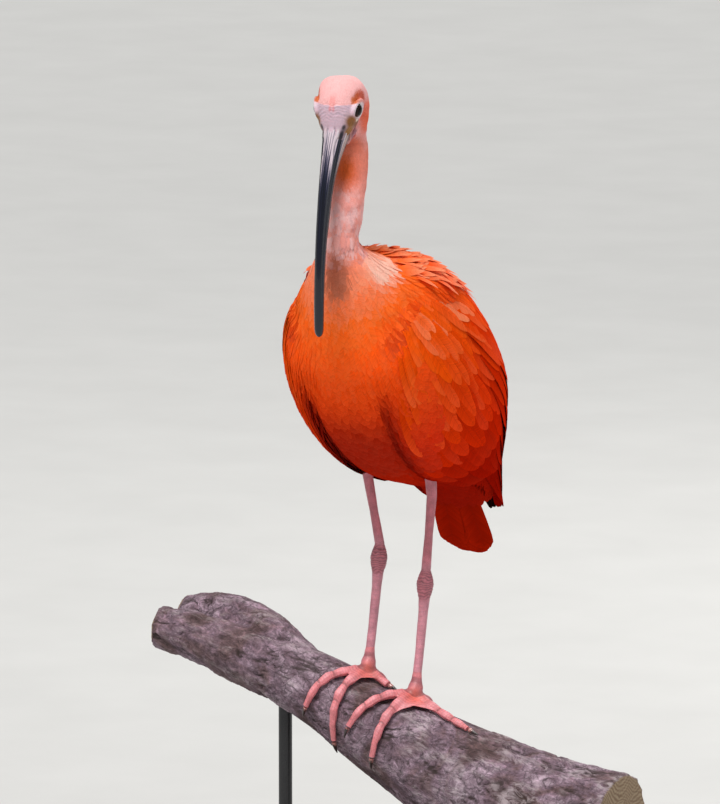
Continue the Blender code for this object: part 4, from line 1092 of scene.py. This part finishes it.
def feathers(name, kind, line, out, half, tint, unwrap, columns=3, thick=0.16, camber=0.12, tilt=0.0,
             edge=0.0):
    """A piece of many closed feathers. line gives the middle of each along its quill, out the ways out
    there, half its half-width, tint its colours along it, and unwrap its root's place on the skin's own
    unwrap. The feather is as thin as thick, bowed by camber, turned by tilt and paler by edge at its rims."""
    count, rows, _ = line.shape
    share, wide = (np.array(row) for row in LEAVES[kind])
    ahead = unit(np.gradient(line, axis=1))
    side = unit(np.cross(ahead, out))
    rise = unit(np.cross(side, ahead))
    width = half[:, None] * wide[None]
    across = np.linspace(-1, 1, columns)
    over = np.concatenate((across, across[1:-1][::-1]))
    face = np.concatenate((np.ones(columns), -np.ones(columns - 2))) * (1 - over**2)
    tilt = np.broadcast_to(np.asarray(tilt, float), (count,))
    reach = width[:, :, None] * over
    height = reach * tilt[:, None, None] - np.abs(reach * over) * camber + thick * face * wide[None, :, None]
    points = line[:, :, None] + side[:, :, None] * reach[..., None] + rise[:, :, None] * height[..., None]
    loop = len(over)
    start = np.arange(count)[:, None, None] * rows * loop + np.arange(rows - 1)[None, :, None] * loop
    here, there = np.arange(loop), (np.arange(loop) + 1) % loop
    quads = np.stack((start + here, start + loop + here, start + loop + there, start + there), -1)
    quads = quads.reshape(-1, 4)
    mesh = bpy.data.meshes.new(name)
    mesh.vertices.add(count * rows * loop)
    mesh.vertices.foreach_set("co", (points.reshape(-1) * MM).astype(np.float32))
    mesh.loops.add(len(quads) * 4)
    mesh.loops.foreach_set("vertex_index", quads.astype(np.int32).ravel())
    mesh.polygons.add(len(quads))
    mesh.polygons.foreach_set("loop_start", np.arange(0, len(quads) * 4, 4, dtype=np.int32))
    mesh.update(calc_edges=True)
    mesh.shade_smooth()
    mesh.set_sharp_from_angle(angle=math.radians(70))
    flat = np.stack(np.broadcast_arrays(over[None, None] / 2, share[None, :, None] - 0.5), -1) * PATCH
    places = unwrap[:, None, None] + np.broadcast_to(flat, (count, rows, loop, 2))
    length = np.linalg.norm(line[:, -1] - line[:, 0], axis=1)
    barb = np.stack((share[None, :, None] * length[:, None, None] - 0.9 * np.abs(reach), np.abs(reach)), -1)
    barb = barb + np.stack([draw.random(count) * BARB_SPAN for _ in range(2)], -1)[:, None, None]
    for layer, values in (("OFBake", places), ("barbs", barb / BARB_SPAN)):
        uv = mesh.uv_layers.new(name=layer)
        uv.data.foreach_set("uv", values.reshape(-1, 2)[quads.ravel()].astype(np.float32).ravel())
    mesh.uv_layers.active = mesh.uv_layers["OFBake"]
    piece = linked(name, mesh)
    lit = tint[:, :, None] * (1 + edge * (over**2)[None, None, :, None] * (1.0, 1.5, 1.5))
    painted(piece, "tint", np.clip(lit, 0, 1).reshape(-1, 3))
    painted(piece, "shaft", np.tile(np.abs(over), count * rows))
    return piece


def plume_look(name, roughness, streak, shaft):
    look, tree, shader = new_look(name, roughness, {"Specular IOR Level": 0.0})
    barbs = grain(tree, placed(tree, (26, 2.6, 1), uv="barbs"), 1.0, 4, 0.65)
    fine = grain(tree, placed(tree, (80, 6, 1), uv="barbs"), 1.0, 2, 0.6)
    colour = shaded(tree, streak, attribute(tree, "tint"), barbs, (0.32, 0.55), (0.5, 1.0), (0.68, 1.4))
    quill = ramp(tree, attribute(tree, "shaft", "Fac"), ((0.0, 1.0), (0.07, 0.0)))
    colour = mixed(tree, mixed(tree, shaft, (0, 0, 0), quill), colour, (0.30, 0.015, 0.006))
    tree.links.new(colour, shader.inputs["Base Color"])
    first = bumped(tree, shader, barbs, 0.18, 0.0008)
    bumped(tree, shader, fine, 0.3, 0.0004, first)
    return look


def combed(ground, root, flow_of, length, low, high):
    """The middles of short feathers that follow the skin from their roots along the lie of the coat."""
    share = np.array(LEAVES["lock"][0])
    point, normal = root, None
    line, ways = [], []
    for k, part in enumerate(share):
        found = [ground.find_nearest(Vector(p))[:2] for p in point]
        point = np.array([spot for spot, _ in found])
        facing = np.array([way for _, way in found])
        normal = facing if normal is None else unit(facing + normal)
        height = low if k == 0 else low + (high - low) * (1 - (1 - part) ** 3)
        line.append(point + normal * np.asarray(height)[:, None])
        ways.append(normal)
        if k + 1 < len(share):
            flow = flow_of(point)
            flow = unit(flow - normal * np.sum(flow * normal, axis=1, keepdims=True))
            point = point + flow * (length * (share[k + 1] - part))[:, None]
    return np.stack(line, 1), np.stack(ways, 1)


def laid(surface, kind, root, tip, sunk, low, high):
    """The middles of longer feathers that follow a surface from their roots to their tips."""
    share = np.array(LEAVES[kind][0])
    places = root[:, None] + (tip - root)[:, None] * share[None, :, None]
    lift = low[:, None] + (high - low)[:, None] * share**0.8
    lift = np.where(share < 0.01, -sunk, lift)
    return surface(places[..., 0], places[..., 1], lift)


def rows_over(surface, first, last, pitch, spacing, turns=(0, 360)):
    """Roots in staggered rows round a surface, an even spacing apart, each a little off its place."""
    stations = np.linspace(first, last, 400)
    line = surface(stations, np.full(len(stations), 90.0))[0]
    run = np.concatenate(((0,), np.cumsum(np.linalg.norm(np.diff(line, axis=0), axis=1))))
    found = []
    ring_turns = np.linspace(*turns, 73)
    for i, place in enumerate(np.arange(0, run[-1], pitch)):
        u = np.interp(place, run, stations)
        ring = surface(np.full(len(ring_turns), u), ring_turns)[0]
        around = np.linalg.norm(np.diff(ring, axis=0), axis=1).sum()
        count = max(3, int(around / spacing))
        span = turns[1] - turns[0]
        turn = turns[0] + span * (np.arange(count) + 0.5 * (i % 2)) / count
        found.append(np.stack((np.full(count, u), turn, np.full(count, span / around)), -1))
    found = np.concatenate(found)
    found[:, 0] += (draw.random(len(found)) - 0.5) * (last - first) / run[-1] * pitch * 0.9
    found[:, 1] += (draw.random(len(found)) - 0.5) * spacing * found[:, 2] * 0.9
    return found


def thinned(points, spacing):
    """Which points to keep so that about one is left in each cube of the spacing."""
    order = draw.permutation(len(points))
    cells = np.floor(points[order] / spacing).astype(int)
    return order[np.unique(cells, axis=0, return_index=True)[1]]


def varied(tint, amount):
    """Each feather a little lighter or darker than its neighbours."""
    return tint * (1 + amount * (draw.random(len(tint)) - 0.5))[:, None]


def along_quill(base, tip, share):
    """Colours along the feathers, from the base's to the tip's."""
    return base[:, None] + (tip - base)[:, None] * share[None, :, None]


def head_flow(point):
    """Back over the crown, back and down over the cheeks, and down the nape and the neck."""
    along, up, _, _ = head_places(point)
    crown, nape = step(-3, 9, up)[:, None], step(-6, -15, along)[:, None]
    flow = -AHEAD * crown + np.array((0.0, 0.72, -0.70)) * (1 - crown) - CROWN * (1.3 * nape)
    neck = np.maximum(step(*NECK_LIE, point[:, 2]), step(-13, -19, up))[:, None]
    outward = point * (1, 1, 0) - np.array((0, -74, 0))
    flow = flow * (1 - neck) + (np.array((0.0, 0.05, -1.0)) + 0.01 * outward) * neck
    return unit(flow) + (draw.random(point.shape) - 0.5) * 0.30


plush = plume_look("plumage_head", 0.8, 0.2, 0.0)
soft = plume_look("plumage_body", 0.7, 0.35, 0.15)
lock_share = np.array(LEAVES["lock"][0])

points = points_of(face)[:len(bare)]
ground_mesh = bmesh.new()
ground_mesh.from_mesh(face.data)
bmesh.ops.scale(ground_mesh, vec=(1 / MM,) * 3, verts=ground_mesh.verts)
ground = BVHTree.FromBMesh(ground_mesh)
ground_mesh.free()
along, up, _, turn = head_places(points)
ragged = along + 0.8 * rough(points, 2.0, 2, 6.0)
lids = lid_distance(points)
feathered = (ragged < np.interp(turn, BARE_TURNS, BARE_FROM) + 0.2) | (up < -19)
level = points[:, 2]
on_skull = level > SKULL_LOW
feathered &= (lids > 7.2) & ((along < 21) | (up < -11))
feathered |= ~on_skull & ((up < -9 - 0.6 * (along - 20)) | (level < THROAT_LOW))
for name, area, spacing, lengths, halves, depth, lift in (
    ("coat_crown", on_skull & (up > 0), 0.74, (3.6, 5.0), (0.55, 0.75), HEAD_COAT, 0.08),
    ("coat_cheeks", on_skull & (up <= 0), 0.74, (3.8, 5.2), (0.55, 0.75), HEAD_COAT, 0.12),
    ("coat_neck_upper", ~on_skull & (level > NECK_HALF), 1.10, (7.0, 9.5), (0.85, 1.15), NECK_COAT, 0.15),
    ("coat_neck_lower", (level <= NECK_HALF) & (level > NECK_LOW), 1.45, (10.0, 13.0), (1.2, 1.7), 2.2, 0.25),
):
    chosen = np.flatnonzero(area & feathered)
    chosen = chosen[thinned(points[chosen], spacing)]
    root, count = points[chosen], len(chosen)
    length = lengths[0] + (lengths[1] - lengths[0]) * draw.random(count)
    short = 0.45 * step(3, 10, along[chosen]) * step(60, 30, turn[chosen])
    short = np.maximum(short, 0.5 * step(11.5, 8, lids[chosen]))
    length = length * (1 - short)
    ruffle = depth * (0.9 + 0.35 * rough(root, 9.0, 2, 1.0)) + lift * (draw.random(count) - 0.3)
    ruffle = ruffle * (1 - short)
    line, ways = combed(ground, root, head_flow, length, np.full(count, -0.4), ruffle)
    base, u = upper_tint(root)
    base = varied(base, 0.10)
    mottle = step(-0.25, 0.45, rough(root * (1, 1, 0.6), 6.0, 3, 8.0)) * step(3.4, 2.6, u) * step(1.2, 1.7, u)
    base = toward(base, MOTTLE_TINT, 0.75 * mottle)
    dusky = step(0.10, 0.55, rough(root, 4.0, 2, 18.0)) * step(3.5, 2.9, u) * step(1.5, 1.9, u)
    base = toward(base, DUSKY_TINT, 0.45 * dusky)
    tint = along_quill(base * 0.96, np.minimum(base * (1.02, 1.05, 1.06), 1), lock_share)
    round_turn = np.arctan2(root[:, 0], root[:, 1] + 70) / (2 * np.pi) + 0.5
    unwrap = np.stack((round_turn, (root[:, 2] - UNWRAP_LOW) / UNWRAP_HIGH), -1) * 0.9 + 0.05
    half = halves[0] + (halves[1] - halves[0]) * draw.random(count)
    coat = feathers(name, "lock", line, ways, half, tint, unwrap, thick=0.07, camber=0.05)
    finish(coat, plush, "plumage_head")


def body_coat(name, kind, first, last, turns, pitch, spacing, lengths, half, rises, pale, wild=0.2,
              keep=None):
    """A stretch of the body's feathers, left out where the wings cover them."""
    places = rows_over(on_plumage, first, last, pitch, spacing, turns)
    u, turn = places[:, 0], np.abs((places[:, 1] + 180) % 360 - 180)
    edges = read(WING, u, keyed=True)
    tucked = np.interp(u, (5, 5.8, 6.4), (34, 24, 10))
    covered = (u > 4.95) & (turn > edges[:, 1] + 8) & (turn < edges[:, 2] - tucked)
    chosen = ~covered if keep is None else keep(u, turn)
    places, turn, edges = places[chosen], turn[chosen], edges[chosen]
    u, count = places[:, 0], int(chosen.sum())
    root, normal = on_plumage(u, places[:, 1])
    speed = np.linalg.norm(on_plumage(u + 0.05, places[:, 1])[0] - root, axis=1) / 0.05
    length = np.interp(u, (first, last), lengths) * (0.85 + 0.3 * draw.random(count))
    sway = (draw.random(count) - 0.5) * 2 * wild
    tip = places[:, :2] + np.stack((length / speed * np.cos(sway), length * np.sin(sway) * places[:, 2]), -1)
    high = rises[0] + (rises[1] - rises[0]) * draw.random(count)
    by_wing = bell(turn - edges[:, 2], -16, 14) * step(4.8, 5.1, u) * step(7.2, 6.2, u)
    high = high + 1.5 * by_wing * (0.6 + 0.4 * draw.random(count))
    line, ways = laid(on_plumage, kind, places[:, :2], tip, BODY_COAT + 0.6, np.full(count, 0.1), high)
    base = varied(plume_tint_and_light(root, u), 0.09)
    # Painted shade in the valley by the wing's lower edge and in the crease in front of the wing.
    valley = 0.50 * bell(turn - edges[:, 2], 4, 6) * step(4.9, 5.5, u) * step(8.4, 7, u)
    crease = 0.35 * bell(u, 4.48, 0.16) * step(76, 92, turn) * step(142, 126, turn)
    base = base * (1 - np.maximum(valley, crease))[:, None] ** (1.0, 1.8, 1.8)
    tips = np.minimum((base + (WEB_TIP_TINT - base) * pale) * (1.03, 1.08, 1.08), 1)
    tint = along_quill(base * 0.93, tips, np.array(LEAVES[kind][0]) ** 1.5)
    unwrap = np.stack(((places[:, 1] % 360) / 360, (u - first) / (last - first)), -1) * 0.9 + 0.05
    half = half * (0.85 + 0.3 * draw.random(count))
    piece = feathers(name, kind, line, ways, half, tint, unwrap, columns=5, thick=0.08, camber=0.04,
                     edge=0.05)
    return finish(piece, soft, "plumage_body")


body_coat("coat_shoulders", "web", 3.25, 4.25, (0, 360), 2.7, 2.5, (14, 17), 2.9, (0.25, 0.5), 0.08, 0.12)
body_coat("coat_breast_upper", "web", 4.2, 5.0, (0, 360), 3.0, 2.8, (17, 20), 3.5, (0.25, 0.5), 0.05, 0.12)
body_coat("coat_breast", "web", 4.95, 6.7, (90, 270), 3.2, 3.0, (19, 22), 3.8, (0.25, 0.5), 0.03, 0.12)
body_coat("coat_belly", "web", 6.6, 9.4, (60, 300), 3.5, 3.2, (21, 25), 4.0, (0.25, 0.5), 0.01, 0.12)
body_coat("coat_back", "web", 4.9, 8.9, (-48, 48), 3.6, 3.3, (19, 24), 3.7, (0.4, 0.8), 0.04, 0.14)
body_coat("mantle_plumes", "plume", 3.7, 5.9, (-68, 68), 4.8, 4.4, (17, 24), 2.9, (1.2, 6.5), 0.60, 0.40,
          keep=lambda u, turn: (turn < np.interp(u, (3.8, 4.6, 5.9), (68, 64, 34))) & (u > 3.7 + turn / 160))


# Wings. Closed webs in tiers on each folded wing: primaries and secondaries at the rear, then the greater,
# median and lesser coverts like tiles up to the shoulder, and the long scapulars along the back.

# Each tier: root station, tip station by the upper and the lower edge, first and last place between the
# edges, how many, half-width, lift at the root and at the tip, and how pale its tips are.
TIERS = (
    ("primaries", 8.2, 11.2, 10.95, 0.20, 0.84, 8, 7.4, 0.2, 0.8, 0.00),
    ("secondaries", 6.9, 10.15, 8.9, 0.07, 0.96, 14, 7.8, 0.3, 1.0, 0.01),
    ("greater_coverts", 6.3, 8.15, 7.85, 0.06, 0.96, 17, 7.0, 0.4, 1.2, 0.02),
    ("median_rear", 5.85, 7.4, 7.2, 0.07, 0.96, 19, 6.4, 0.5, 1.2, 0.03),
    ("median_front", 5.5, 6.8, 6.65, 0.08, 0.96, 20, 5.9, 0.5, 1.2, 0.05),
    ("lesser_rear", 5.2, 6.3, 6.2, 0.09, 0.94, 21, 5.3, 0.5, 1.2, 0.06),
    ("lesser_middle", 4.95, 5.85, 5.8, 0.08, 0.90, 22, 4.8, 0.5, 1.2, 0.07),
    ("lesser_front", 4.72, 5.45, 5.42, 0.07, 0.84, 22, 4.3, 0.5, 1.1, 0.08),
    ("marginal", 4.5, 5.12, 5.1, 0.05, 0.78, 20, 3.8, 0.4, 0.9, 0.08),
    ("scapulars_rear", 6.5, 8.5, 8.1, 0.02, 0.34, 7, 8.0, 1.4, 2.2, 0.03),
    ("scapulars_third", 6.0, 7.9, 7.5, 0.02, 0.38, 8, 7.4, 1.5, 2.3, 0.05),
    ("scapulars_second", 5.5, 7.2, 6.9, 0.02, 0.42, 10, 6.8, 1.5, 2.4, 0.08),
    ("scapulars_front", 5.05, 6.6, 6.3, 0.03, 0.42, 11, 6.0, 1.5, 2.3, 0.10),
    ("scapulars_first", 4.65, 6.0, 5.7, 0.04, 0.42, 11, 5.4, 1.3, 2.2, 0.14),
)
WING_STATIONS = (4.4, 5.4, 6.4, 7.4, 9.0, 11.0)
# Orange at the shoulder, darkening towards the rear: partly own colour, partly painted shade.
WING_TINTS_AND_SHADE = (
    (1.00, 0.120, 0.006),
    (1.00, 0.080, 0.003),
    (0.88, 0.034, 0.0015),
    (0.68, 0.015, 0.001),
    (0.52, 0.009, 0.001),
    (0.46, 0.007, 0.001),
)
# Painted shade for the wing's lower rear, then pale feather tips and black primary tips.
WING_SHADE, WING_PALE, BLACK_TIP = (0.31, 0.005, 0.001), (1.0, 0.36, 0.20), (0.012, 0.006, 0.006)
# Painted highlights near the wing's shoulder, as pale orange patches.
PAINTED_SHEEN = tuple((on_body(u, turn)[0], (8, 12, 8), (1.0, 0.34, 0.17), 0.55)
              for u, turn in ((4.75, 76), (5.15, 98), (5.5, 66)))
vane_share = np.array(LEAVES["vane"][0])


def swollen(side):
    """The wing's upper face, uneven as its feathers are over muscle and bone."""
    def surface(u, b, lift):
        flat = np.stack((u * 16, b * 90, 0 * u + side * 40), -1).reshape(-1, 3)
        return on_wing(u, b, side, lift + 0.9 * rough(flat, 17.0, 2, 31.0).reshape(u.shape))

    return surface


wing_feathers = plume_look("plumage_wing", 0.6, 0.38, 0.3)
for word, side in (("left", 1), ("right", -1)):
    surface = swollen(side)
    for group in ("rear", "front"):
        webs = []
        for name, root_u, tip_above, tip_below, first, last, count, half, low, high, pale in TIERS:
            if (root_u > 5.7) != (group == "rear"):
                continue
            b = np.linspace(first, last, count) + (draw.random(count) - 0.5) * 0.02
            stray = 0.12 if root_u > 6.2 and low < 1 else 0.34
            shift = (draw.random(count) - 0.5) * stray
            tip_u = np.interp(b, (first, last), (tip_above, tip_below)) + shift
            root = np.stack((np.maximum(root_u + shift, 4.62), b), -1)
            tip = np.stack((tip_u, np.clip(b + (draw.random(count) - 0.5) * 0.03, 0, 0.985)), -1)
            rises = low + 0.3 * draw.random(count), high + 0.4 * draw.random(count)
            line, out = laid(surface, "vane", root, tip, 1.5, *rises)
            middle = (root[:, 0] + tip[:, 0]) / 2
            base = varied(blended(WING_STATIONS, WING_TINTS_AND_SHADE, middle), 0.10)
            # Painted shade: the wing's lower rear is darkened.
            base = toward(base, WING_SHADE, 0.75 * step(0.35, 1.0, b) * step(5.2, 7.8, middle))
            # Painted highlights near the shoulder, placed alike on both wings.
            base = marked(base, line[:, 5] * (side, 1, 1), PAINTED_SHEEN)
            edge = toward(base, WING_PALE, pale * draw.random(count) * 1.6)
            tint = along_quill(base * 0.84, np.minimum(edge * 1.04, 1), step(0.30, 1.0, vane_share))
            if name == "primaries":
                black = step(0.80, 0.90, vane_share)[None] * (b < 0.42)[:, None]
                tint = toward(tint, BLACK_TIP, black)
            unwrap = np.stack((b, (root_u - 4) / 5 + 0 * b), -1) * 0.9 + 0.05
            webs.append((line, out, half * (0.92 + 0.16 * draw.random(count)), tint, unwrap))
        piece = feathers(f"wing_{word}_{group}", "vane", *map(np.concatenate, zip(*webs)),
                         columns=9, thick=0.12, camber=0.09, tilt=0.05 * side, edge=0.10)
        finish(piece, wing_feathers, "plumage_wing")


# Tail. Twelve short broad feathers in a nearly closed fan, the middle pair on top, under soft coverts.

TAIL_ROOT = np.array((0.0, 84.0, 151.0 + LEVEL))
TAIL_PITCH, TAIL_LENGTH, TAIL_HALF = math.radians(61), 91.0, 10.6
TAIL_STEP, TAIL_SPREAD, TAIL_STACK = 1.35, math.radians(0.65), 0.45
# The tail's deep red is partly its own colour and partly painted shade.
TAIL_COUNT, TAIL_TINT_AND_SHADE = 12, (0.50, 0.014, 0.002)
tail_way = np.array((0.0, math.cos(TAIL_PITCH), -math.sin(TAIL_PITCH)))
tail_up = np.array((0.0, math.sin(TAIL_PITCH), math.cos(TAIL_PITCH)))
rank = np.arange(TAIL_COUNT) - 5.5
lie = tail_way + np.stack((np.tan(TAIL_SPREAD * rank), 0 * rank, 0 * rank), -1)
start = TAIL_ROOT + np.stack((TAIL_STEP * rank, 0 * rank, 0 * rank), -1)
start = start - tail_up * (np.abs(rank) * TAIL_STACK)[:, None]
quill_share = np.array(LEAVES["quill"][0])
length = TAIL_LENGTH * (1 - 0.0032 * rank**2 + 0.02 * (draw.random(TAIL_COUNT) - 0.5))
line = start[:, None] + lie[:, None] * (length[:, None, None] * quill_share[None, :, None])
base = varied(np.tile(TAIL_TINT_AND_SHADE, (TAIL_COUNT, 1)), 0.15)
tail = feathers("tail_feathers", "quill", line, np.broadcast_to(tail_up, line.shape),
                np.full(TAIL_COUNT, TAIL_HALF), along_quill(base * 0.75, base, quill_share),
                np.stack((rank / 14 + 0.5, 0 * rank + 0.5), -1), columns=11, thick=0.25, camber=0.05,
                tilt=np.where(rank < 0, 0.05, -0.05), edge=0.25)
finish(tail, wing_feathers, "plumage_wing")


# Floor, light and camera. A pale floor, a large soft light above the bird's right and weak ones elsewhere,
# and a long lens at the photograph's height and side.

def floor_look():
    look, tree, shader = new_look("floor", 0.7)
    dust = grain(tree, placed(tree, (1, 1, 1)), 9, 3)
    colour = ramp(tree, dust, ((0.3, (0.60, 0.60, 0.59)), (0.7, (0.63, 0.63, 0.62))))
    tree.links.new(colour, shader.inputs["Base Color"])
    return look


bm = bmesh.new()
bmesh.ops.create_grid(bm, x_segments=1, y_segments=1, size=25.0)
floor = object_from("floor", bm)
floor.data.materials.append(floor_look())

VIEW_TURN, VIEW_RISE, VIEW_AWAY = math.radians(28), math.radians(10), 6.0
FRAME_HIGH = 0.5826
turned, aside = math.cos(VIEW_TURN), math.sin(VIEW_TURN)
level, rise = math.cos(VIEW_RISE), math.sin(VIEW_RISE)
right = Vector((turned, aside, 0))
above = Vector((-aside * rise, turned * rise, level))
back = Vector((aside * level, -turned * level, rise))
target = Vector((0, 0, LEVEL * MM)) - right * 0.0232 + above * 0.200
lens = bpy.data.cameras.new("camera")
lens.sensor_fit = "VERTICAL"
lens.sensor_height = 36
lens.lens = 36 * VIEW_AWAY / FRAME_HIGH
lens.clip_end = 60
camera = linked("camera", lens)
camera.location = target + back * VIEW_AWAY
camera.rotation_euler = back.to_track_quat("Z", "Y").to_euler()
bpy.context.scene.camera = camera

LIGHTS = (
    ("key", "SUN", (-0.55, 1.9, 0.95), 2.9, (1.0, 0.985, 0.96), {"angle": math.radians(24)}),
    ("fill", "AREA", (1.6, 0.5, 1.6), 5.0, (0.95, 0.97, 1.0), {"shape": "DISK", "size": 1.6}),
    ("rim", "AREA", (1.0, 1.4, -1.5), 14.0, (1.0, 0.98, 0.95), {"shape": "DISK", "size": 0.9}),
)
for name, kind, (x, y, z), power, colour, settings in LIGHTS:
    lamp = bpy.data.lights.new(name, kind)
    for setting, value in {"energy": power, "color": colour, **settings}.items():
        setattr(lamp, setting, value)
    holder = linked(name, lamp)
    way = right * x + Vector((0, 0, 1)) * y + back * z
    holder.location = target + way
    holder.rotation_euler = way.to_track_quat("Z", "Y").to_euler()

world = bpy.data.worlds.new("studio")
world.use_nodes = True
sky = world.node_tree.nodes["Background"].inputs
sky["Color"].default_value = (0.86, 0.88, 0.90, 1)
sky["Strength"].default_value = 0.30
bpy.context.scene.world = world
bpy.context.scene.view_settings.view_transform = "Standard"
